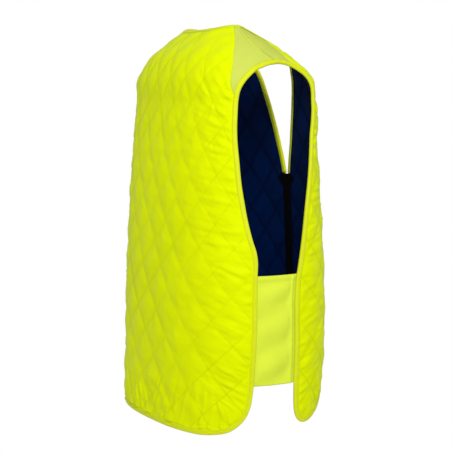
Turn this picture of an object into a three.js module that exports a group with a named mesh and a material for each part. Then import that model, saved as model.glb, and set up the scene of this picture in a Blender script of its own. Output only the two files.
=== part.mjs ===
// A zip-front quilted cooling vest, hanging in the form that it has when worn.
// Millimetres. Z is up, the front faces -Y and the wearer's right is -X.
// The origin lies on the centre line, level with the side points of the neck.
import * as THREE from 'three';

// Body sizes
const vestLength = 700;
const frontLength = 686;
const halfWidth = 218;
const backDepth = 139;
const frontDepth = 161;
const neckDrop = 267;
const backSquareness = 2.6;

// Cloth and trim sizes
const shellThickness = 3;
const liningThickness = 1;
const knitThickness = 1.5;
const clothGap = 0.3;
const seamGap = 0.5;
const bindingWidth = 8.5;
const bindingProud = 0.7;

// Quilting
const diamondWidth = 78;
const diamondHeight = 81.2;
const puffHeight = 4;
const puffRoundness = 0.6;

// Side panels
const sidePanelTop = 426;
const sidePanelHeight = 187;
const sidePanelTuck = 8;
const sidePanelBow = 3;
const foldDepth = 10;
const sidePanelColumns = 6;

// Zip
const zipSlot = 6;
const tapeReach = 17;
const tapeThickness = 0.8;
const tapeFlare = 20;
const tapeFlareHeight = 20;
const teethHalfWidth = 2.5;
const teethThickness = 2.4;
const sliderLength = 11;
const sliderHalfWidth = 4;
const sliderThickness = 2.2;
const pullLength = 24;
const pullHalfWidth = 2.4;
const pullThickness = 1.4;

// Level sections of the worn vest. Down is a share of vestLength, wide of halfWidth,
// back of backDepth and front of frontDepth. Square is the front half's exponent.
const sections = [
  { down: 0.000, wide: 0.344, back: 0.187, front: 0.435, square: 1.00 },
  { down: 0.020, wide: 0.454, back: 0.317, front: 0.522, square: 1.20 },
  { down: 0.046, wide: 0.583, back: 0.475, front: 0.621, square: 1.50 },
  { down: 0.080, wide: 0.734, back: 0.647, front: 0.727, square: 1.85 },
  { down: 0.131, wide: 0.881, back: 0.777, front: 0.801, square: 2.90 },
  { down: 0.200, wide: 0.908, back: 0.806, front: 0.857, square: 3.10 },
  { down: 0.286, wide: 0.931, back: 0.842, front: 0.907, square: 2.70 },
  { down: 0.400, wide: 0.954, back: 0.885, front: 0.950, square: 2.60 },
  { down: 0.529, wide: 0.977, back: 0.921, front: 0.981, square: 2.60 },
  { down: 0.671, wide: 1.000, back: 0.950, front: 1.000, square: 2.60 },
  { down: 0.814, wide: 1.000, back: 0.964, front: 0.994, square: 2.60 },
  { down: 0.943, wide: 0.991, back: 0.986, front: 0.932, square: 2.60 },
  { down: 1.029, wide: 0.982, back: 1.000, front: 0.814, square: 2.60 },
];

// Free edges. Around is the share of the half girth from the centre back to the
// centre front. Down is a share of vestLength at the back, of frontLength at the
// front and of neckDrop round the neck.
const backEdge = [
  { around: 0.545, down: 0.1000 },
  { around: 0.498, down: 0.1043 },
  { around: 0.469, down: 0.1100 },
  { around: 0.439, down: 0.1171 },
  { around: 0.412, down: 0.1300 },
  { around: 0.390, down: 0.1450 },
  { around: 0.372, down: 0.1650 },
  { around: 0.363, down: 0.1900 },
  { around: 0.359, down: 0.2370 },
  { around: 0.361, down: 0.2840 },
  { around: 0.367, down: 0.3320 },
  { around: 0.374, down: 0.3900 },
  { around: 0.381, down: 0.4260 },
  { around: 0.391, down: 0.4730 },
  { around: 0.405, down: 0.5210 },
  { around: 0.416, down: 0.5500 },
  { around: 0.420, down: 0.5740 },
  { around: 0.418, down: 0.6160 },
  { around: 0.416, down: 0.7360 },
  { around: 0.413, down: 0.8330 },
  { around: 0.411, down: 0.8870 },
  { around: 0.405, down: 0.9300 },
  { around: 0.389, down: 0.9600 },
  { around: 0.353, down: 0.9857 },
  { around: 0.306, down: 0.9957 },
  { around: 0.260, down: 1.0000 },
];
const frontEdge = [
  { around: 0.545, down: 0.1020 },
  { around: 0.573, down: 0.1034 },
  { around: 0.595, down: 0.1068 },
  { around: 0.613, down: 0.1123 },
  { around: 0.631, down: 0.1209 },
  { around: 0.648, down: 0.1330 },
  { around: 0.658, down: 0.1491 },
  { around: 0.662, down: 0.1692 },
  { around: 0.658, down: 0.1964 },
  { around: 0.649, down: 0.2317 },
  { around: 0.642, down: 0.2720 },
  { around: 0.636, down: 0.3123 },
  { around: 0.621, down: 0.3707 },
  { around: 0.601, down: 0.4331 },
  { around: 0.585, down: 0.4895 },
  { around: 0.571, down: 0.5439 },
  { around: 0.557, down: 0.5943 },
  { around: 0.546, down: 0.6346 },
  { around: 0.540, down: 0.6850 },
  { around: 0.541, down: 0.7857 },
  { around: 0.543, down: 0.9005 },
  { around: 0.548, down: 0.9469 },
  { around: 0.556, down: 0.9720 },
  { around: 0.570, down: 0.9890 },
  { around: 0.588, down: 0.9980 },
  { around: 0.608, down: 1.0000 },
  { around: 0.640, down: 0.9935 },
  { around: 0.680, down: 0.9790 },
  { around: 0.720, down: 0.9645 },
  { around: 0.800, down: 0.9480 },
  { around: 0.900, down: 0.9400 },
  { around: 1.000, down: 0.9375 },
];
const neckEdge = [
  { around: 0.000, down: 0.036 },
  { around: 0.170, down: 0.034 },
  { around: 0.260, down: 0.028 },
  { around: 0.340, down: 0.019 },
  { around: 0.420, down: 0.013 },
  { around: 0.500, down: 0.019 },
  { around: 0.570, down: 0.041 },
  { around: 0.640, down: 0.080 },
  { around: 0.700, down: 0.115 },
  { around: 0.760, down: 0.155 },
  { around: 0.840, down: 0.225 },
  { around: 0.885, down: 0.300 },
  { around: 0.904, down: 0.375 },
  { around: 0.919, down: 0.468 },
  { around: 0.934, down: 0.562 },
  { around: 0.951, down: 0.674 },
  { around: 0.966, down: 0.787 },
  { around: 0.981, down: 0.899 },
  { around: 0.992, down: 1.000 },
];

// Seams of the shoulder yokes. Down is a share of vestLength.
const backYokeSeam = [
  { around: 0.419, down: 0.006 },
  { around: 0.402, down: 0.036 },
  { around: 0.378, down: 0.073 },
  { around: 0.349, down: 0.123 },
  { around: 0.341, down: 0.147 },
  { around: 0.346, down: 0.170 },
  { around: 0.372, down: 0.200 },
];
const frontYokeSeam = [
  { around: 0.672, down: 0.010 },
  { around: 0.664, down: 0.040 },
  { around: 0.646, down: 0.074 },
  { around: 0.634, down: 0.086 },
  { around: 0.622, down: 0.110 },
];
const shoulderSeam = [
  { around: 0.443, down: 0.005 },
  { around: 0.460, down: 0.022 },
  { around: 0.472, down: 0.043 },
  { around: 0.490, down: 0.060 },
  { around: 0.511, down: 0.077 },
  { around: 0.531, down: 0.100 },
];

// How the quilting lies. Pitch and shift are shares of diamondWidth.
const backQuilting = [
  { down: 0.07, pitch: 0.64, shift: 0.77 },
  { down: 0.19, pitch: 0.64, shift: 0.67 },
  { down: 0.30, pitch: 0.74, shift: 0.36 },
  { down: 0.41, pitch: 0.79, shift: 0.20 },
  { down: 0.53, pitch: 0.85, shift: 0.12 },
  { down: 0.66, pitch: 0.94, shift: -0.15 },
  { down: 0.77, pitch: 1.00, shift: -0.28 },
  { down: 0.89, pitch: 1.00, shift: -0.40 },
  { down: 1.00, pitch: 1.02, shift: -0.58 },
];
const frontQuilting = [
  { down: 0.00, pitch: 0.80, shift: 0.10 },
  { down: 0.30, pitch: 0.90, shift: 0.10 },
  { down: 0.60, pitch: 1.00, shift: 0.00 },
  { down: 1.00, pitch: 1.00, shift: 0.00 },
];
const quiltingStart = -25.7;

const paint = {
  shell: { color: 0xd6e80c, roughness: 0.55, metalness: 0 },
  lining: { color: 0x05193c, roughness: 0.8, metalness: 0 },
  yoke: { color: 0xdcec66, roughness: 0.9, metalness: 0 },
  side: { color: 0xd4e63c, roughness: 0.85, metalness: 0 },
  binding: { color: 0xe0f21c, roughness: 0.45, metalness: 0 },
  tape: { color: 0x0a0b0e, roughness: 0.85, metalness: 0 },
  teeth: { color: 0x141518, roughness: 0.4, metalness: 0 },
  slider: { color: 0x2a2b2f, roughness: 0.35, metalness: 0.8 },
};

const vest = new THREE.Group();
vest.name = 'cooling_vest';

// Smooth value of one column of a table at a place along its key column
function along(table, key, column, place) {
  const last = table.length - 1;
  const rising = table[last][key] > table[0][key];
  const keys = table.map((row) => (rising ? row[key] : -row[key]));
  const target = Math.min(Math.max(rising ? place : -place, keys[0]), keys[last]);
  let i = 0;
  while (i < last - 1 && keys[i + 1] < target) {
    i += 1;
  }
  const slope = (k) => (table[k + 1][column] - table[k][column]) / (keys[k + 1] - keys[k]);
  const tangent = (k) => {
    if (k === 0) return slope(0);
    if (k === last) return slope(last - 1);
    const before = keys[k] - keys[k - 1];
    const after = keys[k + 1] - keys[k];
    return (slope(k - 1) * after + slope(k) * before) / (before + after);
  };
  const span = keys[i + 1] - keys[i];
  const t = (target - keys[i]) / span;
  const rise = t * t * (3 - 2 * t);
  return table[i][column] * (1 - rise) + table[i + 1][column] * rise
    + span * tangent(i) * t * (1 - t) ** 2 + span * tangent(i + 1) * t * t * (t - 1);
}

// One level section as points from the centre back to the centre front
const sectionSteps = 180;
const sectionStore = new Map();
function sectionAt(down) {
  if (sectionStore.has(down)) return sectionStore.get(down);
  const share = down / vestLength;
  const wide = halfWidth * along(sections, 'down', 'wide', share);
  const back = backDepth * along(sections, 'down', 'back', share);
  const front = frontDepth * along(sections, 'down', 'front', share);
  const square = along(sections, 'down', 'square', share);
  const point = (turn) => {
    const isBack = turn < Math.PI / 2;
    const power = 2 / (isBack ? backSquareness : square);
    const x = wide * Math.abs(Math.sin(turn)) ** power;
    const y = (isBack ? back : -front) * Math.abs(Math.cos(turn)) ** power;
    return { x, y };
  };
  const points = [point(0)];
  const lengths = [0];
  for (let i = 1; i <= sectionSteps; i += 1) {
    points.push(point(Math.PI * i / sectionSteps));
    const step = Math.hypot(points[i].x - points[i - 1].x, points[i].y - points[i - 1].y);
    lengths.push(lengths[i - 1] + step);
  }
  const section = { points, lengths, half: lengths[sectionSteps] };
  sectionStore.set(down, section);
  return section;
}

const halfGirth = (down) => sectionAt(down).half;

// A place on the body form. Around runs to 1 on the wearer's right, to -1 on the left.
function place(around, down) {
  const section = sectionAt(down);
  const target = Math.min(Math.abs(around), 1) * section.half;
  let low = 0;
  let high = sectionSteps;
  while (high - low > 1) {
    const middle = (low + high) >> 1;
    if (section.lengths[middle] <= target) low = middle;
    else high = middle;
  }
  const part = (target - section.lengths[low]) / (section.lengths[high] - section.lengths[low]);
  const before = section.points[low];
  const after = section.points[high];
  const x = before.x + (after.x - before.x) * part;
  const y = before.y + (after.y - before.y) * part;
  return new THREE.Vector3(around >= 0 ? -x : x, y, -down);
}

const aroundStep = 0.006;
const downStep = 2;
function tangents(around, down) {
  const upper = Math.max(down - downStep, 0);
  const lower = upper + 2 * downStep;
  const near = Math.max(around - aroundStep, -1);
  const far = Math.min(around + aroundStep, 1);
  const across = place(far, down).sub(place(near, down)).divideScalar(far - near);
  const downward = place(around, lower).sub(place(around, upper)).divideScalar(lower - upper);
  return { across, downward };
}

function outward(around, down) {
  const { across, downward } = tangents(around, down);
  return downward.cross(across).normalize();
}

function offsetPlace(around, down, out) {
  return place(around, down).addScaledVector(outward(around, down), out);
}

// Moves a line of places sideways within the cloth by a distance in millimetres
function slideLine(line, distance) {
  return line.map((here, i) => {
    const before = line[Math.max(i - 1, 0)];
    const after = line[Math.min(i + 1, line.length - 1)];
    const { across, downward } = tangents(here.around, here.down);
    const heading = place(after.around, after.down).sub(place(before.around, before.down));
    const side = outward(here.around, here.down).cross(heading).normalize().multiplyScalar(distance);
    const aa = across.dot(across);
    const ad = across.dot(downward);
    const dd = downward.dot(downward);
    const sa = side.dot(across);
    const sd = side.dot(downward);
    const scale = aa * dd - ad * ad;
    return {
      around: here.around + (sa * dd - sd * ad) / scale,
      down: here.down + (sd * aa - sa * ad) / scale,
    };
  });
}

// Points of a table joined by a smooth curve, with down in millimetres
const curveSteps = 6;
function smoothLine(table, length) {
  const girth = halfGirth(length / 2);
  const points = table.map((row) => new THREE.Vector3(row.around * girth, row.down * length, 0));
  const curve = new THREE.CatmullRomCurve3(points, false, 'centripetal');
  const line = curve.getPoints(curveSteps * (table.length - 1));
  return line.map((p) => ({ around: p.x / girth, down: p.y }));
}

// Where a line that runs downward has a given level
function aroundAt(line, down) {
  for (let i = 1; i < line.length; i += 1) {
    const upper = line[i - 1];
    const lower = line[i];
    if (lower.down >= down && lower.down > upper.down) {
      const t = Math.max((down - upper.down) / (lower.down - upper.down), 0);
      return upper.around + (lower.around - upper.around) * t;
    }
  }
  return line[line.length - 1].around;
}

// Where a line has a given place around
function downAt(line, around) {
  if (around <= line[0].around) return line[0].down;
  for (let i = 1; i < line.length; i += 1) {
    const first = line[i - 1];
    const second = line[i];
    if ((first.around - around) * (second.around - around) <= 0 && first.around !== second.around) {
      const t = (around - first.around) / (second.around - first.around);
      return first.down + (second.down - first.down) * t;
    }
  }
  return line[line.length - 1].down;
}

// The lines where the binding is sewn on, one binding width inside the free edges
const backSewn = slideLine(smoothLine(backEdge, vestLength), -bindingWidth);
const frontSewn = slideLine(smoothLine(frontEdge, frontLength), bindingWidth);
const neckSewn = slideLine(smoothLine(neckEdge, neckDrop), -bindingWidth);
const backSeam = smoothLine(backYokeSeam, vestLength);
const frontSeam = smoothLine(frontYokeSeam, vestLength);
const shoulder = smoothLine(shoulderSeam, vestLength);

// Distance in the cloth between two places
function apart(a, b) {
  return place(a.around, a.down).distanceTo(place(b.around, b.down));
}

// Copy of a line with each of its steps cut into finer ones
const fineSteps = 4;
function finer(line, steps) {
  const result = [];
  for (let i = 1; i < line.length; i += 1) {
    for (let k = 0; k < steps; k += 1) {
      const t = k / steps;
      result.push({
        around: line[i - 1].around * (1 - t) + line[i].around * t,
        down: line[i - 1].down * (1 - t) + line[i].down * t,
      });
    }
  }
  result.push(line[line.length - 1]);
  return result;
}

// Crossing of two lines in the cloth, taken where they come nearest
function crossing(firstLine, secondLine) {
  let best = { distance: Infinity, where: firstLine[0] };
  const second = finer(secondLine, fineSteps);
  for (const a of finer(firstLine, fineSteps)) {
    for (const b of second) {
      const distance = apart(a, b);
      if (distance < best.distance) best = { distance, where: a };
    }
  }
  return best.where;
}

// Part of a line between two of its places, in a number of equal steps
function stretch(line, from, to, steps) {
  const fine = finer(line, 2 * fineSteps);
  const nearest = (target) => {
    const distances = fine.map((here) => apart(here, target));
    return distances.indexOf(Math.min(...distances));
  };
  const start = nearest(from);
  const end = nearest(to);
  const way = end > start ? 1 : -1;
  const run = [];
  for (let i = start; i !== end + way; i += way) run.push(fine[i]);
  const lengths = [0];
  for (let i = 1; i < run.length; i += 1) {
    lengths.push(lengths[i - 1] + apart(run[i], run[i - 1]));
  }
  const total = lengths[lengths.length - 1];
  const result = [];
  for (let k = 0; k <= steps; k += 1) {
    const target = total * k / steps;
    let i = 1;
    while (i < run.length - 1 && lengths[i] < target) i += 1;
    const t = (target - lengths[i - 1]) / (lengths[i] - lengths[i - 1]);
    result.push({
      around: run[i - 1].around * (1 - t) + run[i].around * t,
      down: run[i - 1].down * (1 - t) + run[i].down * t,
    });
  }
  return result;
}

// Quilting: which diamond a place lies in, and how far the cloth puffs out there
function quiltIndex(table, around, down) {
  const share = down / vestLength;
  const pitch = diamondWidth / 2 * along(table, 'down', 'pitch', share);
  const shift = diamondWidth * along(table, 'down', 'shift', share);
  return {
    column: (around * halfGirth(down) - shift) / pitch,
    row: (down - quiltingStart) / (diamondHeight / 2),
    pitch,
    shift,
  };
}

function puff(table, around, down) {
  const { column, row } = quiltIndex(table, around, down);
  const rising = Math.sin(Math.PI * (column + row) / 2);
  const falling = Math.sin(Math.PI * (column - row) / 2);
  return puffHeight * Math.abs(rising * falling) ** puffRoundness;
}

// How near a quilting level or column may come to another, as a share of its spacing
const levelClearance = 0.3;
const columnClearance = 0.45;

// Levels of a quilted panel: the quilting's own half rows, and the levels that edges ask for
function panelLevels(top, bottom, asked) {
  const levels = [top, bottom, ...asked.filter((down) => down > top && down < bottom)];
  const halfRow = diamondHeight / 4;
  const clearance = halfRow * levelClearance;
  for (let k = 1; quiltingStart + k * halfRow < bottom; k += 1) {
    const down = quiltingStart + k * halfRow;
    if (down > top && levels.every((other) => Math.abs(other - down) > clearance)) levels.push(down);
  }
  return levels.sort((a, b) => a - b);
}

// Places along one level from one edge to the other, on the quilting's own columns
function panelRow(table, mirror, down, from, to) {
  const { row, pitch, shift } = quiltIndex(table, 0, down);
  const half = halfGirth(down);
  const odd = Math.round(row * 2) % 2 === 1 ? 0.5 : 0;
  const clearance = pitch * columnClearance;
  const ends = mirror ? [(1 - to) * half, (1 - from) * half] : [from * half, to * half];
  const places = [];
  const first = Math.ceil((ends[0] + clearance - shift) / pitch - odd) + odd;
  for (let column = first; column * pitch + shift < ends[1] - clearance; column += 1) {
    const reach = (column * pitch + shift) / half;
    places.push({ around: mirror ? 1 - reach : reach, down, raised: true });
  }
  if (mirror) places.reverse();
  return [{ around: from, down }, ...places, { around: to, down }];
}

// Turns a list of triangles round if they face inward
function facingOut(points, triangles) {
  let volume = 0;
  for (const [a, b, c] of triangles) {
    volume += points[a].dot(points[b].clone().cross(points[c]));
  }
  return volume > 0 ? triangles : triangles.map(([a, b, c]) => [a, c, b]);
}

function addPiece(name, points, triangles, look) {
  const geometry = new THREE.BufferGeometry();
  const numbers = points.flatMap((p) => [p.x, p.y, p.z]);
  geometry.setAttribute('position', new THREE.Float32BufferAttribute(numbers, 3));
  geometry.setIndex(facingOut(points, triangles).flat());
  geometry.computeVertexNormals();
  const mesh = new THREE.Mesh(geometry, new THREE.MeshStandardMaterial(look));
  mesh.name = name;
  vest.add(mesh);
}

// A wall of cloth over rows of places. Outer and inner give the two faces' offsets.
function addWall(name, rows, outer, inner, look) {
  const flat = rows.flat();
  const starts = [];
  let count = 0;
  for (const row of rows) {
    starts.push(count);
    count += row.length;
  }
  const outside = flat.map((p) => offsetPlace(p.around, p.down, outer(p)));
  const inside = flat.map((p) => offsetPlace(p.around, p.down, inner(p)));
  const points = [...outside, ...inside];
  const triangles = [];
  const addFace = (a, b, c) => {
    triangles.push([a, b, c], [a + count, c + count, b + count]);
  };
  for (let r = 1; r < rows.length; r += 1) {
    const upper = rows[r - 1].length;
    const lower = rows[r].length;
    let i = 0;
    let j = 0;
    while (i < upper - 1 || j < lower - 1) {
      const a = starts[r - 1] + i;
      const b = starts[r] + j;
      const stepUpper = i < upper - 1 ? outside[a + 1].distanceTo(outside[b]) : Infinity;
      const stepLower = j < lower - 1 ? outside[a].distanceTo(outside[b + 1]) : Infinity;
      if (stepUpper < stepLower) {
        addFace(a, b, a + 1);
        i += 1;
      } else {
        addFace(a, b, b + 1);
        j += 1;
      }
    }
  }
  const rim = [];
  for (let i = 0; i < rows[0].length; i += 1) rim.push(i);
  for (let r = 1; r < rows.length; r += 1) rim.push(starts[r] + rows[r].length - 1);
  const lastRow = rows.length - 1;
  for (let i = rows[lastRow].length - 2; i >= 0; i -= 1) rim.push(starts[lastRow] + i);
  for (let r = lastRow - 1; r > 0; r -= 1) rim.push(starts[r]);
  rim.forEach((a, i) => {
    const b = rim[(i + 1) % rim.length];
    triangles.push([a, b, b + count], [a, b + count, a + count]);
  });
  addPiece(name, points, triangles, look);
}

// A strip of one cross-section along a line of places. The section's reach is measured
// away from the cloth within its surface, and its out along the outward normal.
function addStrip(name, line, way, section, look) {
  const points = [];
  line.forEach((here, i) => {
    const before = line[Math.max(i - 1, 0)];
    const after = line[Math.min(i + 1, line.length - 1)];
    const heading = place(after.around, after.down).sub(place(before.around, before.down));
    const out = outward(here.around, here.down);
    const side = out.clone().cross(heading).normalize().multiplyScalar(way);
    const base = place(here.around, here.down);
    for (const corner of section) {
      points.push(base.clone().addScaledVector(side, corner.reach).addScaledVector(out, corner.out));
    }
  });
  const n = section.length;
  const triangles = [];
  for (let i = 1; i < line.length; i += 1) {
    for (let k = 0; k < n; k += 1) {
      const a = (i - 1) * n + k;
      const b = (i - 1) * n + (k + 1) % n;
      triangles.push([a, b, b + n], [a, b + n, a + n]);
    }
  }
  const end = (line.length - 1) * n;
  for (let k = 2; k < n; k += 1) {
    triangles.push([0, k, k - 1], [end, end + k - 1, end + k]);
  }
  addPiece(name, points, triangles, look);
}

const mirrored = (line) => line.map((p) => ({ ...p, around: -p.around }));
const sides = [
  { side: 'right', turn: (line) => line, way: 1 },
  { side: 'left', turn: mirrored, way: -1 },
];

// Faces of the quilted sandwich, from the outside in
const shellBack = -shellThickness;
const liningFace = shellBack - clothGap;
const liningBack = liningFace - liningThickness;

// Back panel, with the yoke seams above and the sewn binding lines below. Its neck row
// follows the neckline, and its next level lies a little below the neckline's lowest place.
const neckDip = 6;
const neckSteps = 5;
const joinClearance = 2;
const backJoin = crossing(backSewn, backSeam);
const backHem = backSewn[backSewn.length - 1].down;
const backTop = neckSewn[0].down;
const cornerShares = [0.93, 0.952, 0.968, 0.9795];
const cornerLevels = cornerShares.map((share) => share * vestLength);
const firstLevel = backTop + neckDip;
const backLevels = panelLevels(firstLevel, backHem, [backJoin.down, ...cornerLevels]);
const backReach = (down) => {
  if (down < backJoin.down) return aroundAt(backSeam, down) - seamGap / 2 / halfGirth(down);
  return aroundAt(backSewn, down);
};
const neckJoinBack = crossing(neckSewn, backSeam);
const backNeckRow = () => {
  const reach = neckJoinBack.around - seamGap / 2 / halfGirth(neckJoinBack.down);
  const row = [];
  for (let i = -neckSteps; i <= neckSteps; i += 1) {
    const around = reach * i / neckSteps;
    row.push({ around, down: downAt(neckSewn, Math.abs(around)) });
  }
  return row;
};
const backRows = [
  backNeckRow(),
  ...backLevels.map((down) => panelRow(backQuilting, false, down, -backReach(down), backReach(down))),
];
const signedPuff = (p) => (p.raised ? puff(backQuilting, p.around, p.down) : 0);
addWall('back_panel', backRows, signedPuff, () => shellBack, paint.shell);
addWall('back_lining', backRows, () => liningFace, () => liningBack, paint.lining);

const seamLevels = backLevels.filter((down) => (
  down > neckJoinBack.down + joinClearance && down < backJoin.down - joinClearance
));
const backSeamPlaces = [
  neckJoinBack,
  ...seamLevels.map((down) => ({ around: aroundAt(backSeam, down), down })),
  backJoin,
];

// Front panels, blunt at the tip between the yoke and the neckline, and at the toe where
// the hem turns up towards the zip
const frontTip = 1.5;
const frontToe = 0.8;
const hemRise = 0.94;
const zipTurn = 9;
const frontJoin = crossing(frontSewn, frontSeam);
const neckJoinFront = crossing(neckSewn, frontSeam);
const frontSeamPlaces = stretch(frontSeam, neckJoinFront, frontJoin, backSeamPlaces.length - 1);
const frontLevelsDown = frontSewn.map((p) => p.down);
const toe = frontLevelsDown.indexOf(Math.max(...frontLevelsDown));
const frontHem = frontSewn[toe].down - frontToe;
const frontHemLine = frontSewn.slice(toe).reverse();
const zipBottom = frontHemLine[0].down;
const frontTop = neckJoinFront.down + frontTip;
const zipTop = neckSewn[neckSewn.length - 1].down;
const zipEdge = (down) => 1 - zipSlot / halfGirth(down);
const frontLevels = panelLevels(frontTop, frontHem, [
  ...frontSeamPlaces.slice(1).map((p) => p.down),
  zipTop,
  zipTop + zipTurn,
  zipBottom,
  ...[...cornerShares, hemRise].map((share) => share * frontLength),
]);
const frontOuter = (down) => {
  if (down < frontJoin.down) return aroundAt(frontSeam, down) + seamGap / 2 / halfGirth(down);
  return aroundAt(frontSewn, down);
};
const frontInner = (down) => {
  if (down <= zipTop) return Math.min(aroundAt(neckSewn, down), zipEdge(down));
  if (down <= zipBottom) return zipEdge(down);
  return Math.min(aroundAt(frontHemLine, down), zipEdge(down));
};
const frontRows = frontLevels.map((down) => (
  panelRow(frontQuilting, true, down, frontOuter(down), frontInner(down))
));
const frontPuff = (p) => (p.raised ? puff(frontQuilting, 1 - Math.abs(p.around), p.down) : 0);
for (const { side, turn } of sides) {
  const rows = frontRows.map(turn);
  addWall(`front_panel_${side}`, rows, frontPuff, () => shellBack, paint.shell);
  addWall(`front_lining_${side}`, rows, () => liningFace, () => liningBack, paint.lining);
}

// Knit shoulder yokes: a patch between the neck, the armhole and two seams
const knitFace = -clothGap;
const knitBack = knitFace - knitThickness;
function blendPatch(first, last, start, end) {
  const rows = [];
  const n = start.length - 1;
  const m = first.length - 1;
  const mix = (a, b, t) => ({
    around: a.around * (1 - t) + b.around * t,
    down: a.down * (1 - t) + b.down * t,
  });
  for (let i = 0; i <= n; i += 1) {
    const row = [];
    for (let j = 0; j <= m; j += 1) {
      const u = j / m;
      const v = i / n;
      const rail = mix(start[i], end[i], u);
      const cross = mix(first[j], last[j], v);
      const corner = mix(mix(first[0], first[m], u), mix(last[0], last[m], u), v);
      row.push({
        around: rail.around + cross.around - corner.around,
        down: rail.down + cross.down - corner.down,
      });
    }
    rows.push(row);
  }
  return rows;
}

const yokeColumns = 4;
const shift = (line, distance) => line.map((p) => ({
  ...p, around: p.around + distance / halfGirth(p.down),
}));
const shoulderNeck = crossing(neckSewn, shoulder);
const shoulderBackEnd = crossing(backSewn, shoulder);

function yokeRows(seamPlaces, seamSide, neckCorner, armCorner, sewn) {
  const steps = seamPlaces.length - 1;
  const shoulderRun = stretch(shoulder, shoulderNeck, shoulderBackEnd, steps);
  const neckRun = stretch(neckSewn, shoulderNeck, neckCorner, yokeColumns);
  const armRun = stretch(sewn, shoulderBackEnd, armCorner, yokeColumns);
  const start = shift(shoulderRun, seamSide * seamGap / 2);
  const end = shift(seamPlaces, -seamSide * seamGap / 2);
  neckRun[0] = start[0];
  neckRun[yokeColumns] = end[0];
  armRun[0] = start[steps];
  armRun[yokeColumns] = end[steps];
  return blendPatch(neckRun, armRun, start, end);
}

const armLine = [...backSewn].reverse().concat(frontSewn.slice(1));
const backYoke = yokeRows(backSeamPlaces, -1, neckJoinBack, backJoin, armLine);
const frontYoke = yokeRows(frontSeamPlaces, 1, neckJoinFront, frontJoin, armLine);
for (const { side, turn } of sides) {
  addWall(`back_yoke_${side}`, backYoke.map(turn), () => knitFace, () => knitBack, paint.yoke);
  addWall(`front_yoke_${side}`, frontYoke.map(turn), () => knitFace, () => knitBack, paint.yoke);
}

// Bindings: a folded tape with a rounded outer edge, along the sewn lines
const bindingFace = bindingProud;
const bindingBack = liningBack - bindingProud;
const bindingShoulder = clothGap + bindingWidth * 0.8;
const bindingSection = [
  { reach: clothGap, out: bindingFace },
  { reach: bindingShoulder, out: bindingFace },
  { reach: clothGap + bindingWidth, out: (bindingFace + bindingBack) / 2 },
  { reach: bindingShoulder, out: bindingBack },
  { reach: clothGap, out: bindingBack },
];
const tiny = 0.001;
const lastOf = (row) => row[row.length - 1];
const below = (rows, down) => rows.filter((row) => row[0].down >= down - tiny);
const above = (rows, down) => rows.filter((row) => row[0].down <= down + tiny);
const hemGap = clothGap / 2 / halfGirth(backHem);
const backHemRun = lastOf(backRows).filter((p) => p.around > hemGap);
const edgeLine = [
  { around: hemGap, down: backHem },
  ...backHemRun.slice(0, -1),
  ...below(backRows.slice(1), backJoin.down).map(lastOf).reverse(),
  ...lastOf(backYoke).slice(0, -1).reverse(),
  ...lastOf(frontYoke).slice(1, -1),
  ...below(frontRows, frontJoin.down).map((row) => row[0]),
  ...lastOf(frontRows).slice(1),
  ...below(frontRows, zipBottom).map(lastOf).reverse().slice(1),
];
const neckHalf = [
  ...backRows[0].filter((p) => p.around > -tiny),
  ...backYoke[0].slice(0, -1).reverse(),
  ...frontYoke[0].slice(1),
  ...above(frontRows, zipTop).map(lastOf),
];
const neckLine = [...mirrored(neckHalf.slice(1)).reverse(), ...neckHalf];
for (const { side, turn, way } of sides) {
  addStrip(`edge_binding_${side}`, turn(edgeLine), -way, bindingSection, paint.binding);
}
addStrip('neck_binding', neckLine, 1, bindingSection, paint.binding);

// Knit side panels, tucked in behind the bound edges of the front and the back
const sideEndFace = bindingBack - clothGap;
const sideSteps = 4;
const sideLevels = [sidePanelTop, sidePanelTop + foldDepth];
for (let i = 1; i <= sideSteps; i += 1) {
  sideLevels.push(sidePanelTop + sidePanelHeight * i / sideSteps);
}
const sideRows = sideLevels.map((down) => {
  const tuck = sidePanelTuck / halfGirth(down);
  const from = aroundAt(backSewn, down) - tuck + bindingWidth / halfGirth(down);
  const to = aroundAt(frontSewn, down) + tuck - bindingWidth / halfGirth(down);
  const row = [];
  for (let k = 0; k <= sidePanelColumns; k += 1) {
    const t = k / sidePanelColumns;
    row.push({ around: from * (1 - t) + to * t, down, bow: Math.sin(Math.PI * t) ** 2 });
  }
  return row;
});
const sideFace = (p) => sideEndFace + sidePanelBow * p.bow;
const sideInner = (p) => sideFace(p) - knitThickness * (p.down < sidePanelTop + foldDepth ? 2 : 1);
for (const { side, turn } of sides) {
  addWall(`side_panel_${side}`, sideRows.map(turn), sideFace, sideInner, paint.side);
}

// Zip: two tapes behind the linings, the closed teeth and a slider at the top. The tapes
// take every panel level by their flared tops, and every second one below.
const tapeGap = 0.5;
const flareLevels = 3;
const tapeFace = liningBack - tapeGap;
const tapeBack = tapeFace - tapeThickness;
const teethMiddle = (tapeFace + tapeBack) / 2;
const zipLevels = frontLevels.filter((down) => (
  down > zipTop + tapeFlareHeight / 4 && down <= zipBottom + tiny
));
const zipStart = zipTop + 2 * clothGap;
const tapeInner = teethHalfWidth + clothGap;
const tapeWidthAt = (down) => {
  const fade = Math.max(1 - (down - zipStart) / tapeFlareHeight, 0);
  return tapeReach + tapeFlare * fade;
};
const tapeLevels = [
  zipStart,
  ...zipLevels.filter((down, i) => i < flareLevels || (zipLevels.length - 1 - i) % 2 === 0),
];
const tapeRows = tapeLevels.map((down) => [
  { around: 1 - tapeWidthAt(down) / halfGirth(down), down },
  { around: 1 - tapeInner / halfGirth(down), down },
]);
for (const { side, turn } of sides) {
  addWall(`zip_tape_${side}`, tapeRows.map(turn), () => tapeFace, () => tapeBack, paint.tape);
}

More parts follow.
